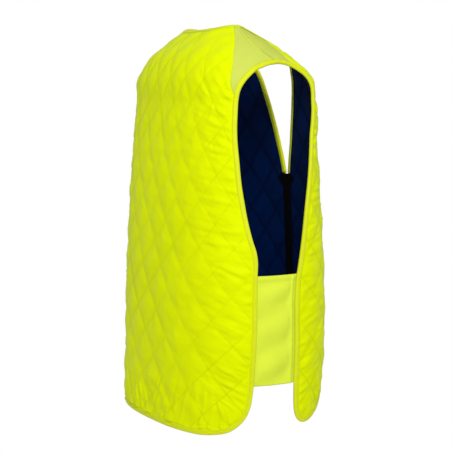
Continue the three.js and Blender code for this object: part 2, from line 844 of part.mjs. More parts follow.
// A bar on the centre front line. Each station gives its level, its half width and
// the offsets of its face and its back.
function addCentreBar(name, stations, look) {
  const points = [];
  for (const { down, half, face, back } of stations) {
    const out = outward(1, down);
    const base = place(1, down);
    for (const [x, offset] of [[-half, face], [half, face], [half, back], [-half, back]]) {
      points.push(new THREE.Vector3(x, base.y + out.y * offset, base.z + out.z * offset));
    }
  }
  const triangles = [];
  for (let i = 1; i < stations.length; i += 1) {
    for (let k = 0; k < 4; k += 1) {
      const a = (i - 1) * 4 + k;
      const b = (i - 1) * 4 + (k + 1) % 4;
      triangles.push([a, b, b + 4], [a, b + 4, a + 4]);
    }
  }
  const end = (stations.length - 1) * 4;
  triangles.push([0, 2, 1], [0, 3, 2], [end, end + 1, end + 2], [end, end + 2, end + 3]);
  addPiece(name, points, triangles, look);
}

const teethFace = teethMiddle + teethThickness / 2;
const teethBack = teethMiddle - teethThickness / 2;
addCentreBar('zip_teeth', tapeLevels.map((down) => ({
  down, half: teethHalfWidth, face: teethFace, back: teethBack,
})), paint.teeth);

const sliderBack = teethFace + clothGap;
const sliderFace = sliderBack + sliderThickness;
const pullFace = sliderBack + pullThickness;
const sliderStep = 1;
const sliderTop = zipStart + sliderStep;
const sliderEnd = sliderTop + sliderLength;
const sliderNose = sliderTop + 2 * sliderStep;
addCentreBar('zip_slider', [
  { down: sliderTop, half: sliderHalfWidth * 0.7, face: sliderFace, back: sliderBack },
  { down: sliderNose, half: sliderHalfWidth, face: sliderFace, back: sliderBack },
  { down: sliderEnd, half: sliderHalfWidth * 0.8, face: sliderFace, back: sliderBack },
  { down: sliderEnd + sliderStep, half: pullHalfWidth, face: pullFace, back: sliderBack },
  { down: sliderEnd + pullLength, half: pullHalfWidth, face: pullFace, back: sliderBack },
], paint.slider);

export default vest;
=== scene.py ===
"""Dresses the cooling vest's frame: quilted cloth, lining, knit, bindings, zip and stitching."""

import math

import bpy
import numpy as np
from bpy.props import FloatProperty, FloatVectorProperty, PointerProperty
from mathutils import Matrix, Vector
from mathutils.kdtree import KDTree


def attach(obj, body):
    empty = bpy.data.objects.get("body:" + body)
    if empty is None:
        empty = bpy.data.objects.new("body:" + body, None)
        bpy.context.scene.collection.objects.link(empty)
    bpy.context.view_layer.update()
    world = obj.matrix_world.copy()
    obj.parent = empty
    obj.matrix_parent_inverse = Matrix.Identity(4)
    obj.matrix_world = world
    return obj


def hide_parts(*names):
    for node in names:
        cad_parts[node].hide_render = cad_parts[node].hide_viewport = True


bl_info = {
    "name": "Cooling Vest",
    "version": (1, 0, 0),
    "blender": (4, 5, 0),
    "location": "View3D > Sidebar > Vest",
    "description": "Dresses the frame of a quilted cooling vest",
    "category": "Object",
}

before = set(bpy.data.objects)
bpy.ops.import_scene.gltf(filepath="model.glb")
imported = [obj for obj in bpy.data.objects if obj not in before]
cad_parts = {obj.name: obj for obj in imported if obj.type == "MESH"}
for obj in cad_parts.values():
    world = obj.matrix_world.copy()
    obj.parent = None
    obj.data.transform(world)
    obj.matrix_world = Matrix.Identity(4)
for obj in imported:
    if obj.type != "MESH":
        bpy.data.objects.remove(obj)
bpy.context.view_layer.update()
MM = 0.001

# Body sizes in metres, as the frame has them
VEST_LENGTH = 0.700
FRONT_LENGTH = 0.686
HALF_WIDTH = 0.218
BACK_DEPTH = 0.139
FRONT_DEPTH = 0.161
NECK_DROP = 0.267
BACK_SQUARENESS = 2.6
SHELL_THICKNESS = 3.0 * MM
LINING_FACE = 3.3 * MM
LINING_THICKNESS = 1.0 * MM
KNIT_THICKNESS = 1.5 * MM
CLOTH_GAP = 0.3 * MM
BINDING_WIDTH = 8.5 * MM
BINDING_PROUD = 0.9 * MM
BINDING_BACK = 5.0 * MM
TAPE_CLOTH = 0.5 * MM
EDGE_TUCK = 4.5 * MM
QUILTING_START = -25.7 * MM
SIDE_PANEL_TOP = 0.426
SIDE_PANEL_HEIGHT = 0.187
SIDE_PANEL_TUCK = 8.0 * MM
SIDE_PANEL_FACE = 5.3 * MM
SIDE_PANEL_BOW = 3.0 * MM
FOLD_DEPTH = 10.0 * MM
ZIP_SLOT = 6.0 * MM
TAPE_REACH = 12.0 * MM
TAPE_FACE = 4.8 * MM
TAPE_THICKNESS = 0.8 * MM
TAPE_FLARE = 29.0 * MM
TAPE_FLARE_HEIGHT = 19.0 * MM


def table(columns, rows):
    """Gives each named column of a table as an array."""
    return dict(zip(columns.split(), np.array(rows, dtype=float).T))


# Level sections of the vest, as shares of the sizes above
SECTIONS = table("down wide back front square", [
    (0.000, 0.344, 0.187, 0.435, 1.00),
    (0.020, 0.454, 0.317, 0.522, 1.20),
    (0.046, 0.583, 0.475, 0.621, 1.50),
    (0.080, 0.734, 0.647, 0.727, 1.85),
    (0.131, 0.881, 0.777, 0.801, 2.90),
    (0.200, 0.908, 0.806, 0.857, 3.10),
    (0.286, 0.931, 0.842, 0.907, 2.70),
    (0.400, 0.954, 0.885, 0.950, 2.60),
    (0.529, 0.977, 0.921, 0.981, 2.60),
    (0.671, 1.000, 0.950, 1.000, 2.60),
    (0.814, 1.000, 0.964, 0.994, 2.60),
    (0.943, 0.991, 0.986, 0.932, 2.60),
    (1.029, 0.982, 1.000, 0.814, 2.60),
])

# Free edges. Around is the share of the half girth from the centre back to the centre
# front, and down is a share of the length that the edge belongs to.
BACK_EDGE = table("around down", [
    (0.545, 0.1000), (0.498, 0.1043), (0.469, 0.1100), (0.439, 0.1171), (0.412, 0.1300),
    (0.390, 0.1450), (0.372, 0.1650), (0.363, 0.1900), (0.359, 0.2370), (0.361, 0.2840),
    (0.367, 0.3320), (0.374, 0.3900), (0.381, 0.4260), (0.391, 0.4730), (0.405, 0.5210),
    (0.416, 0.5500), (0.420, 0.5740), (0.418, 0.6160), (0.416, 0.7360), (0.413, 0.8330),
    (0.411, 0.8870), (0.405, 0.9300), (0.389, 0.9600), (0.353, 0.9857), (0.306, 0.9957),
    (0.260, 1.0000),
])
FRONT_EDGE = table("around down", [
    (0.545, 0.1020), (0.573, 0.1034), (0.595, 0.1068), (0.613, 0.1123), (0.631, 0.1209),
    (0.648, 0.1330), (0.658, 0.1491), (0.662, 0.1692), (0.658, 0.1964), (0.649, 0.2317),
    (0.642, 0.2720), (0.636, 0.3123), (0.621, 0.3707), (0.601, 0.4331), (0.585, 0.4895),
    (0.571, 0.5439), (0.557, 0.5943), (0.546, 0.6346), (0.540, 0.6850), (0.541, 0.7857),
    (0.543, 0.9005), (0.548, 0.9469), (0.556, 0.9720), (0.570, 0.9890), (0.588, 0.9980),
    (0.608, 1.0000), (0.640, 0.9935), (0.680, 0.9790), (0.720, 0.9645), (0.800, 0.9480),
    (0.900, 0.9400), (1.000, 0.9375),
])
NECK_EDGE = table("around down", [
    (0.000, 0.036), (0.170, 0.034), (0.260, 0.028), (0.340, 0.019), (0.420, 0.013),
    (0.500, 0.019), (0.570, 0.041), (0.640, 0.080), (0.700, 0.115), (0.760, 0.155),
    (0.840, 0.225), (0.885, 0.300), (0.904, 0.375), (0.919, 0.468), (0.934, 0.562),
    (0.951, 0.674), (0.966, 0.787), (0.981, 0.899), (0.992, 1.000),
])

# Seams of the shoulder yokes. Down is a share of the vest's length.
BACK_YOKE_SEAM = table("around down", [
    (0.419, 0.006), (0.402, 0.036), (0.378, 0.073), (0.349, 0.123), (0.341, 0.147),
    (0.346, 0.170), (0.372, 0.200),
])
FRONT_YOKE_SEAM = table("around down", [
    (0.672, 0.010), (0.664, 0.040), (0.646, 0.074), (0.634, 0.086), (0.622, 0.110),
])
SHOULDER_SEAM = table("around down", [
    (0.443, 0.005), (0.460, 0.022), (0.472, 0.043), (0.490, 0.060), (0.511, 0.077),
    (0.531, 0.100),
])

# How the quilting lies. Pitch and shift are shares of a diamond's width.
BACK_QUILTING = table("down pitch shift", [
    (0.07, 0.64, 0.77), (0.19, 0.64, 0.67), (0.30, 0.74, 0.36), (0.41, 0.79, 0.20),
    (0.53, 0.85, 0.12), (0.66, 0.94, -0.15), (0.77, 1.00, -0.28), (0.89, 1.00, -0.40),
    (1.00, 1.02, -0.58),
])
FRONT_QUILTING = table("down pitch shift", [
    (0.00, 0.80, 0.10), (0.30, 0.90, 0.10), (0.60, 1.00, 0.00), (1.00, 1.00, 0.00),
])


def size_property(name, description, default, low, high):
    """Gives a length property with its name, its description, its default and its range."""
    return FloatProperty(
        name=name, description=description, default=default, min=low, max=high, unit="LENGTH")


class VestSizes(bpy.types.PropertyGroup):
    """Sizes of the finish that a user would change"""

    diamond_width: size_property(
        "Diamond width", "Width of one quilted diamond", 0.078, 0.03, 0.15)
    diamond_height: size_property(
        "Diamond height", "Height of one quilted diamond", 0.0812, 0.03, 0.15)
    puff_height: size_property(
        "Puff height", "How far a diamond swells out between its seams", 0.0010, 0.0, 0.01)
    crease_height: size_property(
        "Crease height", "Height of the soft creases in the quilted cloth", 0.0003, 0.0, 0.004)
    gather_height: size_property(
        "Gather height", "Height of the gathers that run in from bound edges", 0.0024, 0.0, 0.004)
    side_fold_height: size_property(
        "Side fold height", "Height of the soft waves of the side panels", 0.0026, 0.0, 0.006)
    stitch_length: size_property(
        "Stitch length", "Length of one stitch with its gap", 0.0036, 0.002, 0.01)
    thread_width: size_property(
        "Thread width", "Thickness of the sewing thread", 0.0006, 0.0002, 0.002)
    weave_pitch: size_property(
        "Weave pitch", "Distance between two threads of the quilted cloth", 0.0009, 0.0004, 0.004)
    knit_pitch: size_property(
        "Knit pitch", "Distance between two ribs of the knitted cloth", 0.0016, 0.0006, 0.005)
    coil_pitch: size_property(
        "Coil pitch", "Distance between two teeth of the zip", 0.0021, 0.001, 0.004)


def colour_property(name, description, default):
    """Gives a colour property with its name, its description and its default."""
    return FloatVectorProperty(
        name=name, description=description, default=default, size=3, min=0.0, max=1.0,
        subtype="COLOR")


class VestColours(bpy.types.PropertyGroup):
    """Colours of the vest's cloths and trim"""

    shell: colour_property("Shell", "Quilted outer cloth", (0.73, 0.86, 0.0003))
    lining: colour_property("Lining", "Inner cloth of the quilted panels", (0.0001, 0.0095, 0.062))
    yoke: colour_property("Yoke", "Knit of the shoulder yokes", (0.64, 0.735, 0.110))
    side: colour_property("Side", "Knit of the side panels", (0.78, 0.915, 0.060))
    binding: colour_property("Binding", "Folded tape of the edges", (0.70, 0.775, 0.012))
    thread: colour_property("Thread", "Thread of the quilting", (0.62, 0.74, 0.0005))
    trim_thread: colour_property("Trim thread", "Thread of the bindings", (0.60, 0.69, 0.001))
    zip_cloth: colour_property("Zip cloth", "Woven tape of the zip", (0.0035, 0.0038, 0.0045))
    coil: colour_property("Coil", "Teeth of the zip", (0.006, 0.006, 0.007))
    slider: colour_property("Slider", "Slider and pull of the zip", (0.03, 0.03, 0.032))
    floor: colour_property("Floor", "Pale floor under the vest", (0.85, 0.85, 0.85))


# The form of the vest

FORM_STEP = 1.0 * MM
FORM_REACH = 0.722
TURN_STEPS = 180
AROUND_STEPS = 400
SLOPE_AROUND = 0.006
SLOPE_DOWN = 2.0 * MM


def along(rows, column, place):
    """Smooth values of one column of a table at places along its down column."""
    keys = rows["down"]
    values = rows[column]
    place = np.clip(place, keys[0], keys[-1])
    spans = np.diff(keys)
    slopes = np.diff(values) / spans
    tangents = np.empty_like(values)
    tangents[0] = slopes[0]
    tangents[-1] = slopes[-1]
    tangents[1:-1] = (slopes[:-1] * spans[1:] + slopes[1:] * spans[:-1]) / (spans[1:] + spans[:-1])
    i = np.clip(np.searchsorted(keys, place) - 1, 0, len(spans) - 1)
    t = (place - keys[i]) / spans[i]
    rise = t * t * (3 - 2 * t)
    level = values[i] * (1 - rise) + values[i + 1] * rise
    start = spans[i] * tangents[i] * t * (1 - t) ** 2
    end = spans[i] * tangents[i + 1] * t * t * (t - 1)
    return level + start + end


def unit(vectors):
    """Vectors scaled to length one."""
    return vectors / np.linalg.norm(vectors, axis=-1, keepdims=True)


class Form:
    """The form of the vest as a fine grid of places, read between its points."""

    def __init__(self):
        downs = np.arange(0, FORM_REACH, FORM_STEP)
        share = downs / VEST_LENGTH
        wide = HALF_WIDTH * along(SECTIONS, "wide", share)[:, None]
        back = BACK_DEPTH * along(SECTIONS, "back", share)[:, None]
        front = FRONT_DEPTH * along(SECTIONS, "front", share)[:, None]
        square = along(SECTIONS, "square", share)[:, None]
        turn = np.linspace(0, math.pi, TURN_STEPS + 1)[None, :]
        is_back = turn < math.pi / 2
        power = 2 / np.where(is_back, BACK_SQUARENESS, square)
        x = wide * np.abs(np.sin(turn)) ** power
        y = np.where(is_back, back, -front) * np.abs(np.cos(turn)) ** power
        steps = np.hypot(np.diff(x, axis=1), np.diff(y, axis=1))
        lengths = np.concatenate((np.zeros((len(downs), 1)), np.cumsum(steps, axis=1)), axis=1)
        shares = np.linspace(0, 1, AROUND_STEPS + 1)
        self.half = lengths[:, -1]
        self.x = np.array([np.interp(shares * r[-1], r, v) for r, v in zip(lengths, x)])
        self.y = np.array([np.interp(shares * r[-1], r, v) for r, v in zip(lengths, y)])

    def half_girth(self, down):
        """Half the girth at a level."""
        return np.interp(down, np.arange(len(self.half)) * FORM_STEP, self.half)

    def place(self, around, down):
        """Points on the form. Around runs to 1 on the vest's right and to -1 on its left."""
        around, down = np.broadcast_arrays(np.asarray(around, float), np.asarray(down, float))
        row = np.clip(down / FORM_STEP, 0, len(self.half) - 1.001)
        column = np.clip(np.abs(around) * AROUND_STEPS, 0, AROUND_STEPS - 0.001)
        i = row.astype(int)
        j = column.astype(int)
        s = row - i
        t = column - j
        weights = ((1 - s) * (1 - t), (1 - s) * t, s * (1 - t), s * t)
        corners = ((i, j), (i, j + 1), (i + 1, j), (i + 1, j + 1))
        x = sum(w * self.x[c] for w, c in zip(weights, corners))
        y = sum(w * self.y[c] for w, c in zip(weights, corners))
        return np.stack((np.where(around >= 0, -x, x), y, -down), axis=-1)

    def tangents(self, around, down):
        """Steps of the form for one unit around and for one metre down."""
        around = np.asarray(around, float)
        upper = np.maximum(down - SLOPE_DOWN, 0)
        lower = upper + 2 * SLOPE_DOWN
        near = np.maximum(around - SLOPE_AROUND, -1)
        far = np.minimum(around + SLOPE_AROUND, 1)
        across = (self.place(far, down) - self.place(near, down)) / (far - near)[..., None]
        rise = (self.place(around, lower) - self.place(around, upper))
        return across, rise / (lower - upper)[..., None]

    def outward(self, around, down):
        """Outward normals of the form."""
        across, downward = self.tangents(around, down)
        return unit(np.cross(downward, across))

    def lift(self, around, down, out):
        """Points that stand off the form by a distance."""
        out = np.broadcast_to(out, np.shape(around))
        return self.place(around, down) + self.outward(around, down) * out[..., None]


form = Form()


# Lines in the cloth: arrays of around and down

LINE_STEP = 2.0 * MM
CURVE_STEPS = 24


def run_lengths(points):
    """How far along a row of points each of them lies."""
    return np.concatenate(([0], np.cumsum(np.linalg.norm(np.diff(points, axis=0), axis=1))))


def spaced(line, lengths, count):
    """The same line in a number of equal steps."""
    targets = np.linspace(0, lengths[-1], count + 1)
    return np.column_stack([np.interp(targets, lengths, line[:, k]) for k in (0, 1)])


def even(line, step=LINE_STEP):
    """The same line with its places an even step apart in the cloth."""
    lengths = run_lengths(form.place(line[:, 0], line[:, 1]))
    return spaced(line, lengths, max(int(round(lengths[-1] / step)), 1))


def smooth_line(rows, length):
    """Places of a table joined by a smooth curve, with down in metres."""
    girth = form.half_girth(length / 2)
    points = np.column_stack((rows["around"] * girth, rows["down"] * length))
    first = 2 * points[0] - points[1]
    last = 2 * points[-1] - points[-2]
    chain = np.vstack((first, points, last))
    t = (np.arange(CURVE_STEPS) / CURVE_STEPS)[:, None]
    rise = t * t * (3 - 2 * t)
    pieces = []
    for i in range(len(points) - 1):
        a, b, c, d = chain[i:i + 4]
        before, here, after = np.sqrt(np.linalg.norm(np.diff(chain[i:i + 4], axis=0), axis=1))
        leave = ((b - a) / before - (c - a) / (before + here) + (c - b) / here) * here
        arrive = ((c - b) / here - (d - b) / (here + after) + (d - c) / after) * here
        curve = b * (1 - rise) + c * rise + leave * t * (1 - t) ** 2 + arrive * t * t * (t - 1)
        pieces.append(curve)
    line = np.vstack([*pieces, points[-1:]])
    return even(np.column_stack((line[:, 0] / girth, line[:, 1])))


def slide(line, distance):
    """Moves a line sideways within the cloth."""
    around, down = line.T
    across, downward = form.tangents(around, down)
    heading = np.gradient(form.place(around, down), axis=0)
    side = unit(np.cross(form.outward(around, down), heading)) * distance
    aa = (across * across).sum(1)
    ad = (across * downward).sum(1)
    dd = (downward * downward).sum(1)
    sa = (side * across).sum(1)
    sd = (side * downward).sum(1)
    scale = aa * dd - ad * ad
    return np.column_stack((around + (sa * dd - sd * ad) / scale, down + (sd * aa - sa * ad) / scale))


def crossing(first, second):
    """Where two lines come nearest to each other, as indices in each."""
    a = form.place(first[:, 0], first[:, 1])
    b = form.place(second[:, 0], second[:, 1])
    gaps = np.linalg.norm(a[:, None] - b[None, :], axis=2)
    return np.unravel_index(np.argmin(gaps), gaps.shape)


def around_at(line, down):
    """Where a line that runs downward has given levels."""
    order = np.maximum.accumulate(line[:, 1])
    return np.interp(down, order, line[:, 0])


def falling(line):
    """The part of a line down to its lowest place."""
    return line[:np.argmax(line[:, 1]) + 1]


def hem_of(line):
    """The part of a line past its lowest place, from its far end down to that place."""
    return line[np.argmax(line[:, 1]):][::-1]


def zip_edge_at(down, slot=0.0):
    """Where the front panel ends beside the zip."""
    return 1 - (ZIP_SLOT + slot) / form.half_girth(down)


def run_of(line, start, end, count):
    """Part of a line between two of its indices, in a number of equal steps."""
    part = line[start:end + 1] if end >= start else line[end:start + 1][::-1]
    return spaced(part, run_lengths(form.place(part[:, 0], part[:, 1])), count)


def mirrored(line):
    """The same line on the vest's other side."""
    return line * np.array((-1.0, 1.0))


SIDES = (("right", 1), ("left", -1))

BACK_FREE = smooth_line(BACK_EDGE, VEST_LENGTH)
FRONT_FREE = smooth_line(FRONT_EDGE, FRONT_LENGTH)
NECK_FREE = smooth_line(NECK_EDGE, NECK_DROP)
BACK_SEWN = slide(BACK_FREE, -BINDING_WIDTH)
FRONT_SEWN = slide(FRONT_FREE, BINDING_WIDTH)
NECK_SEWN = slide(NECK_FREE, -BINDING_WIDTH)
BACK_BOUND = np.vstack((BACK_SEWN, even(np.array((BACK_SEWN[-1], (0.0, BACK_SEWN[-1, 1]))))[1:]))
BACK_TUCKED = slide(BACK_FREE, EDGE_TUCK - BINDING_WIDTH)
FRONT_TUCKED = slide(FRONT_FREE, BINDING_WIDTH - EDGE_TUCK)
NECK_TUCKED = slide(NECK_FREE, EDGE_TUCK - BINDING_WIDTH)
BACK_SEAM = smooth_line(BACK_YOKE_SEAM, VEST_LENGTH)
FRONT_SEAM = smooth_line(FRONT_YOKE_SEAM, VEST_LENGTH)
SHOULDER = smooth_line(SHOULDER_SEAM, VEST_LENGTH)


# Relief of the cloth

NOISE_CELLS = 64
GATHER_SLANT = 0.35
GATHER_WIDTH = 7 * MM
GATHER_LENGTH = 34 * MM
GATHER_DEPTH = 75 * MM
PUCKER_WIDTH = 5.5 * MM
PUCKER_REACH = 6 * MM
PUFF_ROUNDNESS = 0.45


def noise(u, v, seed):
    """Smooth noise from -1 to 1 over two coordinates, the same in every run."""
    lattice = np.random.default_rng(seed).uniform(-1, 1, (NOISE_CELLS, NOISE_CELLS))
    i = np.floor(u).astype(int)
    j = np.floor(v).astype(int)
    s = u - i
    t = v - j
    s = s * s * (3 - 2 * s)
    t = t * t * (3 - 2 * t)
    near = lattice[i % NOISE_CELLS, j % NOISE_CELLS] * (1 - t)
    near += lattice[i % NOISE_CELLS, (j + 1) % NOISE_CELLS] * t
    far = lattice[(i + 1) % NOISE_CELLS, j % NOISE_CELLS] * (1 - t)
    far += lattice[(i + 1) % NOISE_CELLS, (j + 1) % NOISE_CELLS] * t
    return near * (1 - s) + far * s


def ease(value, start, end):
    """Rises smoothly from 0 at start to 1 at end."""
    t = np.clip((value - start) / (end - start), 0, 1)
    return t * t * (3 - 2 * t)


def edge_reach(around, down, line):
    """Distance from places to a line, and how far along the line each place lies."""
    points = form.place(line[:, 0], line[:, 1])
    lengths = run_lengths(points)
    tree = KDTree(len(points))
    for i, point in enumerate(points):
        tree.insert(point, i)
    tree.balance()
    places = form.place(around, down).reshape(-1, 3)
    found = [tree.find(point) for point in places]
    distance = np.array([hit[2] for hit in found]).reshape(np.shape(around))
    position = lengths[[hit[1] for hit in found]].reshape(np.shape(around))
    return distance, position


class Quilting:
    """Where the seams of one panel's quilting run, and how its diamonds puff out."""

    def __init__(self, rows, from_front, sizes):
        self.rows = rows
        self.from_front = from_front
        self.width = sizes.diamond_width
        self.height = sizes.diamond_height

    def lie(self, down):
        """Width of half a diamond and sideways shift of the pattern at levels."""
        share = down / VEST_LENGTH
        pitch = self.width / 2 * along(self.rows, "pitch", share)
        return pitch, self.width * along(self.rows, "shift", share)

    def cell(self, around, down):
        """Which diamond column and row a place lies in."""
        pitch, shift = self.lie(down)
        reach = 1 - np.abs(around) if self.from_front else around
        column = (reach * form.half_girth(down) - shift) / pitch
        row = (down - QUILTING_START) / (self.height / 2)
        return (column + row) / 2, (column - row) / 2

    def seam(self, number, rising, down):
        """Where one numbered seam has given levels."""
        pitch, shift = self.lie(down)
        row = (down - QUILTING_START) / (self.height / 2)
        column = 2 * number - row if rising else 2 * number + row
        reach = (column * pitch + shift) / form.half_girth(down)
        return 1 - reach if self.from_front else reach

    def seam_reach(self, around, down):
        """Distance from places to the nearest quilting seam."""
        first, second = self.cell(around, down)
        slope = np.hypot(1 / self.lie(down)[0], 2 / self.height) / 2
        near = np.minimum(np.abs(first - np.round(first)), np.abs(second - np.round(second)))
        return near / slope

    def puff(self, around, down):
        """Share of the full puff at places, 0 on the seams."""
        first, second = self.cell(around, down)
        rising = np.abs(np.sin(math.pi * first))
        falling = np.abs(np.sin(math.pi * second))
        return (rising * falling) ** PUFF_ROUNDNESS


def seam_puckers(quilting, around, down, seed):
    """Fine gathers that cross the quilting seams, from -1 to 1."""
    first, second = quilting.cell(around, down)
    side = quilting.height * 0.7
    total = 0
    for across, position, shift in ((first, second, 0), (second, first, 31)):
        line = np.round(across)
        distance = np.abs(across - line) * side
        wave = noise(position * side / PUCKER_WIDTH, line * 7.31 + shift, seed + shift)
        total = total + wave * np.exp(-distance / PUCKER_REACH)
    return total


def edge_gathers(around, down, edges, seed):
    """Fine gathers that run in from bound edges, from -1 to 1 of their full height."""
    total = np.zeros_like(around)
    for i, line in enumerate(edges):
        away, run = edge_reach(around, down, line)
        slant = run + GATHER_SLANT * away
        wave = noise(slant / GATHER_WIDTH, away / GATHER_LENGTH, seed + i)
        wave += 0.5 * noise(slant / (GATHER_WIDTH / 2), away / (GATHER_LENGTH / 2), seed + i + 10)
        patch = 0.75 + 0.5 * noise(run / (4 * GATHER_WIDTH), away / GATHER_LENGTH, seed + i + 20)
        total += wave * patch * np.exp(-(away / GATHER_DEPTH) ** 2)
    return total


# Meshes

def grid_faces(rows, columns, start=0, flip=False):
    """Faces of a grid of points whose rows follow one another."""
    index = start + np.arange(rows * columns).reshape(rows, columns)
    a = index[:-1, :-1].ravel()
    b = index[1:, :-1].ravel()
    c = index[1:, 1:].ravel()
    d = index[:-1, 1:].ravel()
    quads = np.column_stack((a, b, c, d))
    return quads[:, ::-1] if flip else quads


def tube_faces(first, stations, sides, flip=False):
    """Faces of a closed tube whose rings of points follow one another."""
    faces = []
    for k in range(stations - 1):
        for j in range(sides):
            a = first + sides * k + j
            b = first + sides * k + (j + 1) % sides
            faces.append((a, b, b + sides, a + sides))
    last = first + sides * (stations - 1)
    faces.append(tuple(range(first, first + sides))[::-1])
    faces.append(tuple(range(last, last + sides)))
    return [face[::-1] for face in faces] if flip else faces


def grid_rim(rows, columns):
    """Indices round the border of a grid."""
    index = np.arange(rows * columns).reshape(rows, columns)
    return np.concatenate((index[0, :], index[1:, -1], index[-1, -2::-1], index[-2:0:-1, 0]))


def make_object(name, vertices, faces, material, uv=None):
    """Makes a smooth mesh object from arrays of points and faces."""
    mesh = bpy.data.meshes.new(name)
    mesh.from_pydata(np.asarray(vertices).reshape(-1, 3).tolist(), [], [list(map(int, f)) for f in faces])
    mesh.polygons.foreach_set("use_smooth", [True] * len(mesh.polygons))
    if uv is not None:
        layer = mesh.uv_layers.new(name="cloth")
        corners = np.empty(len(mesh.loops), dtype=np.int32)
        mesh.loops.foreach_get("vertex_index", corners)
        layer.data.foreach_set("uv", np.asarray(uv).reshape(-1, 2)[corners].ravel())
    mesh.materials.append(material)
    mesh.update()
    piece = bpy.data.objects.new(name, mesh)
    bpy.context.scene.collection.objects.link(piece)
    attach(piece, "root")
    return piece


def is_inside_out(outer, rows, columns):
    """Whether a grid's faces look into the vest."""
    grid = outer.reshape(rows, columns, 3)
    i = rows // 2
    j = columns // 2
    facing = np.cross(grid[i + 1, j] - grid[i, j], grid[i, j + 1] - grid[i, j])
    middle = np.array((0.0, 0.0, grid[i, j][2]))
    return np.dot(facing, grid[i, j] - middle) < 0


def make_wall(name, around, down, outer, inner, material, closed=True):
    """A wall of cloth over a grid of places, between two distances from the form."""
    rows, columns = around.shape
    face = form.lift(around, down, outer).reshape(-1, 3)
    back = form.lift(around, down, inner).reshape(-1, 3)
    girth = form.half_girth(down)
    flat = np.stack((around * girth, -down), axis=-1).reshape(-1, 2)
    flip = is_inside_out(face, rows, columns)
    rim = grid_rim(rows, columns)
    following = np.roll(rim, -1)
    if closed:
        points = np.vstack((face, back))
        uv = np.vstack((flat, flat))
        low = rim + len(face)
        low_next = following + len(face)
        inside = grid_faces(rows, columns, len(face), not flip)
    else:
        points = np.vstack((face, back[rim]))
        uv = np.vstack((flat, flat[rim]))
        low = np.arange(len(rim)) + len(face)
        low_next = np.roll(low, -1)
        inside = np.empty((0, 4), dtype=int)
    edge = np.column_stack((rim, following, low_next, low))
    edge = edge[:, ::-1] if flip else edge
    faces = np.vstack((grid_faces(rows, columns, 0, flip), inside, edge))
    return make_object(name, points, faces, material, uv)


def sheet_rows(levels, start, end, columns):
    """Grid of places whose every level runs from its start to its end in equal steps."""
    t = np.linspace(0, 1, columns + 1)[None, :]
    around = np.asarray(start)[:, None] * (1 - t) + np.asarray(end)[:, None] * t
    down = np.repeat(np.asarray(levels)[:, None], columns + 1, axis=1)
    return around, down


def hem_levels(top, line, step, corner, finest):
    """Even levels from a top, then the line's own levels round its hem corner."""
    turn = line[line[:, 1] > corner][:, 1]
    turn = np.maximum.accumulate(turn)
    kept = [turn[0]]
    for level in turn[1:]:
        if level - kept[-1] > finest:
            kept.append(level)
    kept[-1] = turn[-1]
    count = int(round((kept[0] - top) / step))
    return np.concatenate((np.linspace(top, kept[0], count + 1), kept[1:]))


def coons(top, bottom, start, end):
    """A grid of places that blends four border lines."""
    v = np.linspace(0, 1, len(start))[:, None, None]
    u = np.linspace(0, 1, len(top))[None, :, None]
    rails = start[:, None] * (1 - u) + end[:, None] * u
    rungs = top[None] * (1 - v) + bottom[None] * v
    corners = (top[0] * (1 - u) + top[-1] * u) * (1 - v) + (bottom[0] * (1 - u) + bottom[-1] * u) * v
    blend = rails + rungs - corners
    return blend[..., 0], blend[..., 1]


# Materials

WAVE_PERIOD = math.pi / 10
# Layer that holds how far each lining point lies from a quilting seam; the lining's colour is painted
# darker near the seams as shade in their grooves.
SEAM_SHADE_LAYER = "painted_seam_shade"
SEAM_SHADE_REACH = 6 * MM
GLOSS_TINT = (1.0, 1.0, 0.5, 1.0)


